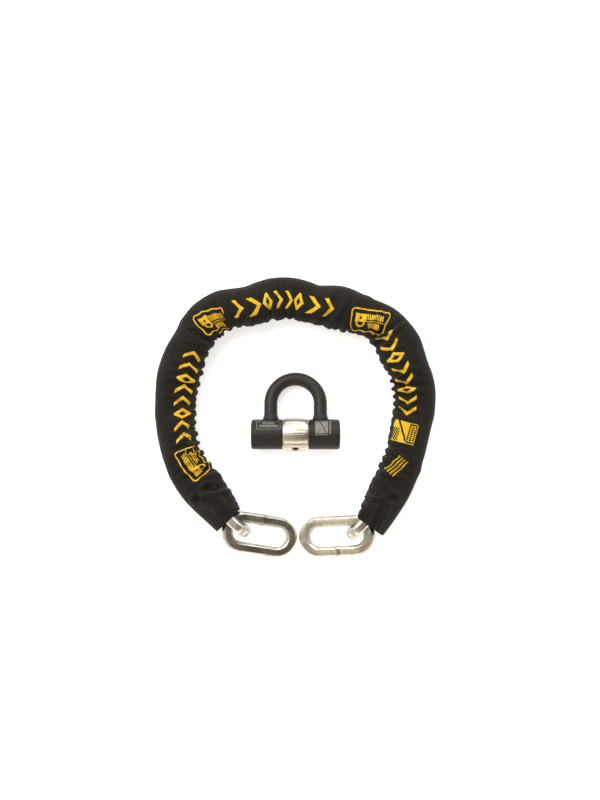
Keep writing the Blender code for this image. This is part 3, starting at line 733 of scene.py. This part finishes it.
def creases(sleeve, out, upward):
    """Depth of the creases at every point of the tube, negative inward."""
    depth = np.zeros(out.shape)
    across = out / sleeve.half[:, None]
    place = np.repeat(sleeve.s[:, None], COLUMNS, 1)
    aside = across * LINK_HALF_WIDTH * 1.2
    for turn_a, side_a, turn_b, side_b, deep, wide in CREASES:
        start = np.array([sleeve.at(turn_a), side_a * LINK_HALF_WIDTH * 1.2])
        end = np.array([sleeve.at(turn_b), side_b * LINK_HALF_WIDTH * 1.2])
        away, share = from_fold(np.stack([place, aside], 2), start, end)
        away = away / (wide * MM)
        ridge = 0.55 * np.exp(-((away - 1.9) ** 2))
        fade = 1.0 - 0.75 * share
        depth = depth + 1.15 * deep * MM * fade * (ridge - np.exp(-(away**2)))
    for mouth, back_a, side_a, back_b, side_b, deep, wide in MOUTH_FOLDS:
        back = sleeve.length - place if mouth else place
        start = np.array([back_a * MM, side_a * LINK_HALF_WIDTH * 1.2])
        end = np.array([back_b * MM, side_b * LINK_HALF_WIDTH * 1.2])
        away, _ = from_fold(np.stack([back, aside], 2), start, end)
        away = away / (wide * MM)
        edge = smooth((np.abs(across) - 0.7) * 4.0)
        ridge = (0.7 - 0.55 * edge) * np.exp(-((away - 1.8) ** 2))
        depth = depth + deep * MM * (ridge - np.exp(-(away**2)))
    return depth * smooth(upward[None, :] * 2.5 + 0.6)


def relaxed_sleeve(sleeve):
    """The tube's final points, with the cloth coordinates of its rows and columns."""
    angle, out, up = sleeve.sections()
    shape = sleeve.place(out, up)
    rng = np.random.default_rng(11)
    around = lengths(np.roll(shape, -1, 1) - shape).mean(0)
    v = np.concatenate([[0.0], np.cumsum(around)])
    girth = v[-1]
    run = np.gradient(sleeve.s)
    heading = np.unwrap(np.arctan2(sleeve.ahead[:, 1], sleeve.ahead[:, 0]))
    outer = (run - np.gradient(heading) * sleeve.half) * CUT_SLACK
    outer = (outer[1:] + outer[:-1]) / 2
    u = np.concatenate([[0.0], np.cumsum(outer)])
    uu = np.repeat(sleeve.s[:, None], COLUMNS, 1)
    vv = np.repeat(v[None, :-1], ROWS, 0)
    inward = np.clip(-np.cos(angle), 0, 1)[None, :]
    upper = np.clip(np.sin(angle), 0, 1)[None, :]
    nudge = 1.5 * MM * inward * smooth_noise(rng, uu, vv, 8.5 * MM, 26 * MM, girth)
    nudge = nudge + 0.3 * MM * smooth_noise(rng, uu, vv, 11 * MM, 30 * MM, girth)
    folds = smooth_noise(rng, uu, vv, 24 * MM, 32 * MM, girth)
    folds = folds + 0.6 * smooth_noise(rng, uu + 0.35 * vv, vv, 13 * MM, 26 * MM, girth)
    lift = 0.9 * MM * folds * (0.35 + upper) + creases(sleeve, out, np.sin(angle))
    shape = shape + outward_normals(shape) * lift[:, :, None]
    least = np.maximum(over_links(shape, np.sin(angle)), FLOOR_LIFT)
    shape[:, :, 2] = np.maximum(shape[:, :, 2], least)
    beside_links(shape)
    easy = smooth_noise(rng, uu, vv, 21 * MM, 40 * MM, girth)
    easy = np.clip(0.72 + 0.75 * easy, 0.1, 1.0)[:-1]
    short = lengths(np.diff(shape, axis=0))
    cut = short + np.maximum(outer[:, None] - short, 0.0) * easy
    hold = 0.004 + 0.2 * np.clip(np.cos(angle), 0, 1)[None, :] ** 1.5
    hold = hold + 0.01 * np.clip(-np.sin(angle), 0, 1)[None, :]
    ends = smooth(1 - sleeve.s / MOUTH_HOLD) + smooth(1 - (sleeve.length - sleeve.s) / MOUTH_HOLD)
    hold = np.maximum(hold, 0.5 * ends[:, None])
    points = settle(shape, cut, hold, nudge, least)
    beside_links(points)
    return points, u, v


def placed(name, data, place=(0.0, 0.0, 0.0)):
    made = bpy.data.objects.new(name, data)
    bpy.context.scene.collection.objects.link(made)
    made.location = place
    return made


def piece_from(name, points, faces, material):
    mesh = bpy.data.meshes.new(name)
    mesh.from_pydata([tuple(p) for p in points], [], faces)
    mesh.update()
    made = placed(name, mesh)
    mesh.materials.append(material)
    mesh.polygons.foreach_set("use_smooth", [True] * len(mesh.polygons))
    return made


def solid_piece(name, points, faces, material, slot=None, sharp=None):
    """A closed mesh with its faces turned outward and edges over sharp degrees kept crisp."""
    made = piece_from(name, points, faces, material)
    mesh = bmesh.new()
    mesh.from_mesh(made.data)
    bmesh.ops.recalc_face_normals(mesh, faces=mesh.faces)
    mesh.to_mesh(made.data)
    mesh.free()
    if sharp:
        made.data.set_sharp_from_angle(angle=math.radians(sharp))
    return made


def fold_in(points, rows):
    """Rows of a mouth's hem, folded in under the outer cloth."""
    normal = outward_normals(points)
    return [points[r] - normal[r] * CLOTH_WALL for r in rows]


def print_spots(sleeve, u, v):
    """Cloth coordinates in mm of the printed marks, sorted along the sleeve."""
    top = v[COLUMNS // 2] / MM

    def spot(mark):
        degrees, inward, turn = mark
        along = float(np.interp(sleeve.at(degrees), sleeve.s, u)) / MM
        return along, top + inward, math.radians(turn)

    return {
        "word": [spot(mark) for mark in WORD_MARKS],
        "frame": [spot(mark) for mark in FRAME_MARKS],
        "block": [spot(BLOCK_MARK)],
        "lines": [spot(LINES_MARK)],
    }


def cloth_piece(name, rows, marks, v, material):
    """A stretch of the tube with its cloth coordinates: marks along it and v round it."""
    faces = grid_faces(len(rows), COLUMNS)
    made = piece_from(name, np.concatenate(rows), faces, material)
    i, j = np.divmod(np.arange(len(faces)), COLUMNS)
    marks = np.array(marks)
    corners = (marks[i], v[j], marks[i], v[j + 1], marks[i + 1], v[j + 1], marks[i + 1], v[j])
    layer = made.data.uv_layers.new(name="cloth")
    layer.data.foreach_set("uv", np.stack(corners, 1).astype(np.float32).ravel())
    subdivide = made.modifiers.new("Subdivision", "SUBSURF")
    subdivide.levels = subdivide.render_levels = 1
    return made


def build_sleeve():
    """The cloth in one piece for every link joint, each reaching from one link's middle to the
    next.
    """
    sleeve = Sleeve()
    points, u, v = relaxed_sleeve(sleeve)
    material = sleeve_fabric(print_spots(sleeve, u, v))
    bounds = [int(np.argmin(np.abs(sleeve.s - m))) for m in sleeve.middles]
    bounds[0], bounds[-1] = 0, ROWS - 1
    for k in range(LINKS - 1):
        first, last = bounds[k], bounds[k + 1]
        rows, marks = list(points[first : last + 1]), list(u[first : last + 1])
        if k == 0:
            rows = fold_in(points, HEM_ROWS[::-1]) + rows
            marks = [-u[r] for r in HEM_ROWS[::-1]] + marks
        if k == LINKS - 2:
            hem = [ROWS - 1 - r for r in HEM_ROWS]
            rows = rows + fold_in(points, hem)
            marks = marks + [2 * u[-1] - u[r] for r in hem]
        made = cloth_piece("sleeve_cloth_%02d" % (k + 1), rows, marks, v, material)
        ahead = (P[k + 1] - P[k]).normalized() + (P[k + 2] - P[k + 1]).normalized()
        ahead.normalize()
        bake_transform(made)
        covered = ["sleeve_section_%02d" % (k + 1)]
        if k == LINKS - 2:
            covered.append("sleeve_section_%02d" % LINKS)
        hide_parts(*covered)


# ---- links

EDGE_ROUND = 0.42 * MM
CROWN_STEPS = 40
STRAIGHT_STEPS = 44
DENT_DEPTH = 0.11 * MM
BEAD_REACH = 4.5 * MM
SEAM_REACH = 1.15 * MM
END_LINK_BAR = (11 * MM, 2.2 * MM)
CHAIN_LINK_BAR = (10 * MM, 1.7 * MM)
# Looks of the links that show: tint, grime tint, amount of grime, relief, tint of the crowns
# and size of the weld's bead.
# Both end links carry the same zinc plating: the left look's darker olive tint is painted shade
# and the right look's brighter golden tint is painted light.
SHADED_OLIVE_LOOK = ((0.5, 0.475, 0.385), (0.1, 0.088, 0.045), 0.5, 0.6, (0.46, 0.44, 0.34), 0.07)
LIT_GOLDEN_LOOK = ((0.8, 0.72, 0.57), (0.3, 0.22, 0.1), 0.35, 0.6, (0.43, 0.41, 0.33), 0.035)
CLEAN = ((0.66, 0.645, 0.59), (0.24, 0.22, 0.16), 0.12, 0.2, (0.6, 0.58, 0.52), 0.02)


def link_frame(node, ahead_hint, face_hint):
    """A link's middle and its axes: along, across and through its flat side."""
    points = np.array([vertex.co for vertex in frame["nodes"][node].data.vertices], float)
    values, vectors = np.linalg.eigh(np.cov((points - points.mean(0)).T))
    axes = [vectors[:, k] for k in np.argsort(values)[::-1]]
    if axes[0] @ np.array(ahead_hint) < 0:
        axes[0] = -axes[0]
    if axes[2] @ np.array(face_hint) < 0:
        axes[2] = -axes[2]
    axes[1] = np.cross(axes[2], axes[0])
    spans = [points @ axis for axis in axes]
    middle = sum(axis * (span.max() + span.min()) / 2 for axis, span in zip(axes, spans))
    sizes = [span.max() - span.min() for span in spans]
    return middle, axes, sizes


def bar_section(bar, chamfer):
    """Square bar with chamfered edges, each edge line rounded off by two more points."""
    half = bar / 2
    corners = []
    for sx, sy in ((1, 1), (-1, 1), (-1, -1), (1, -1)):
        pair = [(sx * half, sy * (half - chamfer)), (sx * (half - chamfer), sy * half)]
        corners += pair if sx * sy > 0 else pair[::-1]
    outline = []
    for k, corner in enumerate(corners):
        corner = np.array(corner)
        before, after = np.array(corners[k - 1]), np.array(corners[(k + 1) % 8])
        to_before = (before - corner) / np.linalg.norm(before - corner)
        to_after = (after - corner) / np.linalg.norm(after - corner)
        outline.append(corner + to_before * EDGE_ROUND)
        outline.append(corner + (to_before + to_after) * EDGE_ROUND * 0.22)
        outline.append(corner + to_after * EDGE_ROUND)
        outline.append(corner + (after - corner) * 0.5)
    return outline


def forged_link(name, node, body, ahead_hint, face_hint, bar, chamfer, weld_side, look, seed):
    """Bent square-bar link with a butt weld in one straight side and forging marks."""
    middle, axes, sizes = link_frame(node, ahead_hint, face_hint)
    tint, grime_tint, grime, relief, crown_tint, bead_size = look
    radius = (sizes[1] - bar) / 2
    straight = (sizes[0] - sizes[1]) / 2
    place = (middle, axes[0], axes[1], straight, weld_side, crown_tint)
    material = worn_zinc(name + "_zinc", tint, grime_tint, grime, (0.2, 0.42), relief, place)
    section = bar_section(bar, chamfer)
    stations = []
    for side, start in ((1.0, 0.0), (-1.0, math.pi)):
        for k in range(STRAIGHT_STEPS):
            along = side * straight * (1 - 2 * k / STRAIGHT_STEPS)
            stations.append((along, side * radius, start, side))
        for k in range(CROWN_STEPS):
            turn = start + math.pi * k / CROWN_STEPS
            along = -side * straight - radius * math.sin(turn)
            stations.append((along, radius * math.cos(turn), turn, 0.0))
    rng = np.random.default_rng(seed)
    dents = rng.normal(0.0, 1.0, (len(stations), len(section)))
    for _ in range(6):
        for axis in (0, 1):
            dents = (dents + np.roll(dents, 1, axis) + np.roll(dents, -1, axis)) / 3
    dents = dents / np.abs(dents).max() * DENT_DEPTH
    ragged = rng.normal(0.0, 1.0, len(section)) * 0.3
    points = []
    for row, (along, aside, turn, side) in enumerate(stations):
        at_weld = side == weld_side
        bead = bead_size * math.exp(-((along / BEAD_REACH) ** 2)) if at_weld else 0.0
        seam = math.exp(-((along / SEAM_REACH) ** 2)) if at_weld else 0.0
        for k, (r, z) in enumerate(section):
            proud = dents[row, k] + seam * (0.42 + ragged[k] * 0.3) * MM
            grow = 1.0 + bead + proud / math.hypot(r, z)
            out = aside + math.cos(turn) * r * grow
            ahead = along - math.sin(turn) * r * grow
            points.append(middle + axes[0] * ahead + axes[1] * out + axes[2] * z * grow)
    faces = grid_faces(len(stations), len(section), closed=True)
    made = solid_piece(name, points, faces, material, "zinc_steel")
    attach(made, body)
    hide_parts(node)


def dress(node, material):
    """Gives a CAD node its material."""
    item = frame["nodes"][node]
    item.data.materials.clear()
    item.data.materials.append(material)
    return item


def build_links():
    ends, sides = ((1, 0, 0), (0, 0, 1)), (1, 0, 0)
    left, right = P[0] - P[1], P[LINKS] - P[LINKS - 1]
    forged_link("left_forged_end_link", "left_end_link", "left_end",
                *ends, *END_LINK_BAR, 1.0, SHADED_OLIVE_LOOK, 5)
    forged_link("right_forged_end_link", "right_end_link", "right_end",
                *ends, *END_LINK_BAR, -1.0, LIT_GOLDEN_LOOK, 6)
    forged_link("left_outer_link", "chain_link_01", body_name(1),
                left, sides, *CHAIN_LINK_BAR, 1.0, CLEAN, 7)
    forged_link("right_outer_link", "chain_link_15", body_name(LINKS),
                right, sides, *CHAIN_LINK_BAR, 1.0, CLEAN, 8)
    plain = worn_zinc("chain_zinc", (0.62, 0.6, 0.53), (0.2, 0.17, 0.11), 0.35)
    for number in range(2, LINKS):
        item = dress("chain_link_%02d" % number, plain)
        rounded = item.modifiers.new("Bevel", "BEVEL")
        rounded.width = EDGE_ROUND
        rounded.segments = 2
        rounded.limit_method = "ANGLE"


# ---- lock

LOCK_POINT = Vector(JOINTS["ring_turn"]["pos_m"])
SHACKLE_WAY = Vector(JOINTS["shackle_slide"]["axis"]).normalized()
LOCK_TILT = math.atan2(SHACKLE_WAY.z, SHACKLE_WAY.y)
LOCK_MATRIX = Matrix.Translation(LOCK_POINT) @ Matrix.Rotation(LOCK_TILT, 4, "X")
COVER_RADIUS = 15.8 * MM
COVER_START = 13.8 * MM
COVER_END = 46.5 * MM
COVER_ROUND = 2.4 * MM
RING_HALF = 13.4 * MM
RING_RADIUS = 17.5 * MM
RING_EDGE_RADIUS = 16.3 * MM
RIB_HEIGHT = 0.6 * MM
RIB_HALF_LENGTH = 10.8 * MM
RIB_HALF_WIDTH = 1.6 * MM
KEYHOLE_RADIUS = 3.7 * MM
KEYHOLE_TURN = math.radians(162.0)
LEG_X = 26.1 * MM
ARCH_Y = 33.1 * MM
JACKET_RADIUS = 7.0 * MM
JACKET_BORE = 0.84
SEAL_FOOT = 8.9 * MM
SEAL_LIP = 7.45 * MM
LEG_FOOT = 13.0 * MM
LOCK_BORE = 13.2 * MM
SOFT_BLACK = (0.0165, 0.0138, 0.0108)


def in_lock_frame(made, body, node):
    """Puts a piece made in the lock's own frame in its place."""
    made.matrix_world = LOCK_MATRIX
    bpy.context.view_layer.update()
    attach(made, body)
    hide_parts(node)


def turned(profile, segments, leg=None):
    """Points and faces of a closed (along, radius) profile, turned about X or, with leg, about
    the upright line at that X."""
    points, faces, rows = [], [], []
    for along, radius in profile:
        count = 1 if radius <= 0.0 else segments
        rows.append([len(points) + k for k in range(count)])
        for k in range(count):
            turn = 2 * math.pi * k / segments
            a, b = radius * math.cos(turn), radius * math.sin(turn)
            points.append((along, a, b) if leg is None else (leg + a, along, b))
    for one, two in zip(rows, rows[1:] + ([] if profile[0][1] <= 0.0 else [rows[0]])):
        for k in range(segments):
            m = (k + 1) % segments
            if len(one) == 1:
                faces.append((one[0], two[k], two[m]))
            elif len(two) == 1:
                faces.append((one[k], two[0], one[m]))
            else:
                faces.append((one[k], two[k], two[m], one[m]))
    return points, faces


def arc(centre_along, centre_radius, radius, start, end, steps):
    turns = [start + (end - start) * k / steps for k in range(steps + 1)]
    return [
        (centre_along + radius * math.sin(turn), centre_radius + radius * math.cos(turn))
        for turn in turns
    ]


def carve(made, profile, segments, leg, turn=0.0):
    """Cuts a turned profile, tilted by turn about X, out of a closed piece."""
    tool = solid_piece("tool", *turned(profile, segments, leg), made.data.materials[0])
    tool.matrix_world = Matrix.Rotation(turn, 4, "X")
    cut = made.modifiers.new("hole", "BOOLEAN")
    cut.operation, cut.solver, cut.object = "DIFFERENCE", "EXACT", tool
    bpy.context.view_layer.update()
    evaluated = made.evaluated_get(bpy.context.evaluated_depsgraph_get())
    mesh = bpy.data.meshes.new_from_object(evaluated)
    made.modifiers.clear()
    made.data = mesh
    bpy.data.objects.remove(tool)


def body_cover(side, material):
    """Soft moulded cup over one half of the body, with a parting groove near the ring."""
    word = "left" if side < 0 else "right"
    profile = [(44.0 * MM, 0.0), (44.0 * MM, LOCK_BORE), (COVER_START, LOCK_BORE)]
    profile += arc(COVER_START + 0.6 * MM, COVER_RADIUS - 0.6 * MM, 0.6 * MM, -math.pi / 2, 0, 4)
    groove = COVER_START + 2.2 * MM
    for along, deep in ((-0.35, 0.0), (-0.2, 0.22), (0.2, 0.22), (0.35, 0.0)):
        profile.append((groove + along * MM, COVER_RADIUS - deep * MM))
    for k in range(1, 9):
        profile.append((groove + (COVER_END - COVER_ROUND - groove) * k / 9, COVER_RADIUS))
    profile += arc(COVER_END - COVER_ROUND, COVER_RADIUS - COVER_ROUND, COVER_ROUND, 0, 1.35, 7)
    profile += [(COVER_END + 0.2 * MM, COVER_RADIUS - 4.6 * MM), (COVER_END + 0.6 * MM, 0.0)]
    points, faces = turned([(side * a, r) for a, r in profile], 120)
    made = solid_piece(word + "_soft_cover", points, faces, material, "soft_black")
    leg_hole = [(2 * MM, 0.0), (2 * MM, 8.4 * MM), (26 * MM, 8.4 * MM), (26 * MM, 0.0)]
    carve(made, leg_hole, 48, side * LEG_X)
    made.data.set_sharp_from_angle(angle=math.radians(35))
    in_lock_frame(made, "lock_body", word + "_body_cover")


def rib_lift(x, turn):
    """Height of the grip ribs over the ring's surface."""
    step = math.pi / 4
    local = (turn - KEYHOLE_TURN - step / 2) % step
    local = min(local, step - local) * RING_RADIUS
    beyond = max(abs(x) - RIB_HALF_LENGTH + RIB_HALF_WIDTH, 0.0)
    inside = (RIB_HALF_WIDTH - math.hypot(local, beyond)) / RIB_HALF_WIDTH
    return RIB_HEIGHT * min(1.0, max(0.0, inside) * 2.2) ** 0.5


def grip_ring(material):
    """Crowned nickel ring with eight raised ribs and a round keyhole window."""
    across, around = 66, 264
    turns = [2 * math.pi * k / around for k in range(around)]
    points = []
    for row in range(across + 1):
        x = RING_HALF * (2 * row / across - 1)
        crown = RING_RADIUS - (RING_RADIUS - RING_EDGE_RADIUS) * (x / RING_HALF) ** 2
        rim = max(0.0, abs(x) - RING_HALF + 0.7 * MM) / (0.7 * MM)
        for turn in turns:
            radius = crown - 0.55 * MM * rim**2 + rib_lift(x, turn)
            points.append((x, radius * math.cos(turn), radius * math.sin(turn)))
    for x in (RING_HALF, -RING_HALF):
        points += [(x, LOCK_BORE * math.cos(turn), LOCK_BORE * math.sin(turn)) for turn in turns]
    faces = grid_faces(across + 3, around, closed=True)
    made = solid_piece("grip_ring", points, faces, material, "satin_nickel")
    window = [(11 * MM, 0.0), (11 * MM, KEYHOLE_RADIUS)]
    window += [(RING_RADIUS - 0.35 * MM, KEYHOLE_RADIUS)]
    window += [(RING_RADIUS + 1.65 * MM, KEYHOLE_RADIUS + 2 * MM), (RING_RADIUS + 1.65 * MM, 0.0)]
    carve(made, window, 64, 0.0, KEYHOLE_TURN)
    made.data.polygons.foreach_set("use_smooth", [True] * len(made.data.polygons))
    made.data.set_sharp_from_angle(angle=math.radians(50))
    in_lock_frame(made, "lock_ring", "keyhole_cover_ring")


def jacket(material):
    """Soft tube over the shackle's bow and legs."""
    leg = [LEG_FOOT + k * (ARCH_Y - LEG_FOOT) / 8 for k in range(8)]
    path = [((-LEG_X, y), (0.0, 1.0)) for y in leg]
    for k in range(73):
        turn = math.pi - math.pi * k / 72
        place = (LEG_X * math.cos(turn), ARCH_Y + LEG_X * math.sin(turn))
        path.append((place, (math.sin(turn), -math.cos(turn))))
    path += [((LEG_X, y), (0.0, -1.0)) for y in reversed(leg)]
    around = 48
    wave = np.random.default_rng(21).uniform(0, 6.28, 6)
    outer, inner = [], []
    for number, (place, way) in enumerate(path):
        for k in range(around):
            turn = 2 * math.pi * k / around
            swell = math.sin(number * 0.19 + wave[0] + math.sin(turn + wave[1]))
            radius = JACKET_RADIUS + 0.05 * MM * swell
            for rows, reach in ((outer, radius), (inner, radius * JACKET_BORE)):
                out = reach * math.cos(turn)
                rows.append((place[0] + way[1] * out, place[1] - way[0] * out,
                             reach * math.sin(turn)))
    back = [inner[i : i + around] for i in range(len(inner) - around, -1, -around)]
    points = outer + [point for row in back for point in row]
    faces = grid_faces(2 * len(path), around, closed=True)
    made = solid_piece("shackle_soft_jacket", points, faces, material, "soft_black", 50)
    in_lock_frame(made, "lock_shackle", "shackle_jacket")


def collar(side, material):
    """Rubber collar round a shackle leg, flared where it meets the cover."""
    word = "left" if side < 0 else "right"
    profile = [(12.9 * MM, 7.3 * MM), (12.9 * MM, 8.2 * MM), (14.6 * MM, 8.2 * MM)]
    profile += [(15.2 * MM, SEAL_FOOT), (16.0 * MM, SEAL_FOOT - 0.15 * MM)]
    for k in range(1, 8):
        share = k / 7
        radius = SEAL_LIP + (SEAL_FOOT - 0.3 * MM - SEAL_LIP) * (1 - share) ** 1.8
        profile.append((16.3 * MM + 4.1 * MM * share, radius))
    profile += [(20.6 * MM, 7.3 * MM)]
    points, faces = turned(profile, 72, side * LEG_X)
    made = solid_piece(word + "_leg_collar", points, faces, material, "black_rubber", 40)
    in_lock_frame(made, "lock_body", word + "_leg_seal")


def cover_finish():
    """Soft black moulding with pale generic signs printed on its upper side."""
    n = Print("soft_cover_print")
    base, fine = mould(n, SOFT_BLACK, 0.46, specular=0.32)
    place = n.coordinates()
    x, depth, height = n.parts(place)
    x = n.times(x, 1000.0)
    y = n.times(n.math("ARCTAN2", depth, height), COVER_RADIUS / MM)
    a, b = n.minus(x, -28.2), n.minus(y, 8.3)
    rows = n.either(n.box(a, b, 0.0, 2.2, 6.2, 1.3), n.box(a, b, 0.0, -1.5, 9.6, 1.5))
    label = n.either(
        n.outline(n.round_box(a, b, 12.2, 5.2, 1.4), 0.28), n.both(rows, n.stripes(a, 1.45, 0.5))
    )
    c, d = n.minus(x, 29.2), n.minus(y, 6.2)
    comb = n.both(n.stripes(c, 1.5, 0.45), n.minus(6.8, d))
    slash = n.outline(n.grow(d, 0.45, n.minus(c, -0.6)), 0.55)
    block = n.without(n.without(n.box(c, d, -2.0, 1.0, 6.6, 8.6), comb), slash)
    column = n.both(n.box(c, d, 6.9, 0.0, 1.1, 8.0), n.stripes(d, 1.4, 0.42))
    foot = n.both(n.box(c, d, -2.0, -9.0, 6.6, 0.7), n.stripes(c, 1.0, 0.3))
    ink = n.either(label, block, column, foot)
    inked = n.span(n.plus(ink, n.span(fine, 0.3, 0.7, -0.12, 0.12)), 0.1, -0.1)
    worn = n.span(n.noise(place, 420.0, 4.0, 0.7), 0.36, 0.6, 0.35, 0.62)
    n.set(Base_Color=n.mix(n.times(inked, worn), base, (0.42, 0.41, 0.38, 1.0)))
    return n.material


def build_lock():
    cover = cover_finish()
    rubber = moulded_black("collar_rubber", (0.016, 0.014, 0.012), 0.5, 1800.0)
    body_cover(-1, cover)
    body_cover(1, cover)
    jacket(moulded_black("soft_jacket", SOFT_BLACK, 0.46))
    collar(-1, rubber)
    collar(1, rubber)
    grip_ring(brushed_metal("satin_nickel", (0.7, 0.645, 0.55), 0, (0.27, 0.33), 0.03))
    steel = brushed_metal("turned_steel", (0.5, 0.5, 0.5), 0)
    brass = brushed_metal("turned_brass", (0.36, 0.26, 0.12), 1, (0.4, 0.55))
    for node in ("lock_body_core", "shackle_core", "drive_cam", "left_locking_bolt",
                 "right_locking_bolt", "cylinder_retaining_pin"):
        dress(node, steel)
    for node in ("cylinder_housing", "cylinder_plug"):
        dress(node, brass)


# ---- camera, light and floor

FLOOR_HALF = 30
CAMERA_PLACE = (6.1 * MM, 20.2 * MM, 1.52)
CAMERA_LENS = 64.3


def soft_room(world):
    """Light tent: bright behind and round the rim, darker overhead and to the right."""
    n = Nodes("soft_room", world)
    x, y, z = n.parts(n.coordinates("Generated"))
    value = n.grow(n.times(x, n.times(z, z)), -0.95, 0.42)
    value = n.plus(value, n.span(y, 0.08, 0.42, 0.0, 0.75))
    rim = n.minus(1.0, n.size(z))
    value = n.most(n.plus(value, n.times(n.times(rim, rim), 0.7)), 0.07)
    background = n.tree.nodes["Background"]
    tint = n.mix(n.span(y, -0.3, 0.35), (1.0, 0.9, 0.74, 1.0), (1.0, 0.985, 0.96, 1.0))
    n.feed(background.inputs["Color"], tint)
    n.feed(background.inputs["Strength"], n.times(value, 0.85))


def softbox(name, place, size, power, colour=(1.0, 1.0, 1.0)):
    """Rectangular lamp aimed at the middle of the ring."""
    lamp = bpy.data.lights.new(name, "AREA")
    lamp.shape = "RECTANGLE"
    lamp.size, lamp.size_y = size
    lamp.energy = power
    lamp.color = colour
    made = placed(name, lamp, place)
    made.rotation_euler = (-Vector(place)).to_track_quat("-Z", "Y").to_euler()


def build_stage():
    scene = bpy.context.scene
    camera = placed("camera", bpy.data.cameras.new("camera"), CAMERA_PLACE)
    camera.data.sensor_width = 36.0
    camera.data.lens = CAMERA_LENS
    camera.data.clip_start = 0.01
    scene.camera = camera
    mesh = bpy.data.meshes.new("floor")
    far = FLOOR_HALF
    corners = [(-far, -far, 0), (far, -far, 0), (far, far, 0), (-far, far, 0)]
    mesh.from_pydata(corners, [], [(0, 1, 2, 3)])
    placed("floor", mesh)
    n = Nodes("pale_floor")
    n.set(Base_Color=(0.93, 0.93, 0.93, 1.0), Roughness=0.9, Specular_IOR_Level=0.1)
    n.set(Emission_Color=(1.0, 1.0, 1.0, 1.0), Emission_Strength=0.6)
    mesh.materials.append(n.material)
    scene.world = bpy.data.worlds.new("soft_room")
    soft_room(scene.world)
    softbox("key_softbox", (-0.75, 0.75, 1.5), (0.9, 0.9), 16.0, (1.0, 0.98, 0.95))
    softbox("rim_softbox", (0.5, 1.4, 0.9), (1.4, 0.6), 8.0)
    softbox("front_softbox", (0.1, -1.4, 0.9), (1.6, 0.5), 4.0, (1.0, 0.93, 0.82))
    scene.view_settings.view_transform = "Standard"


# ---- assembly

build_stage()
build_sleeve()
build_links()
build_lock()
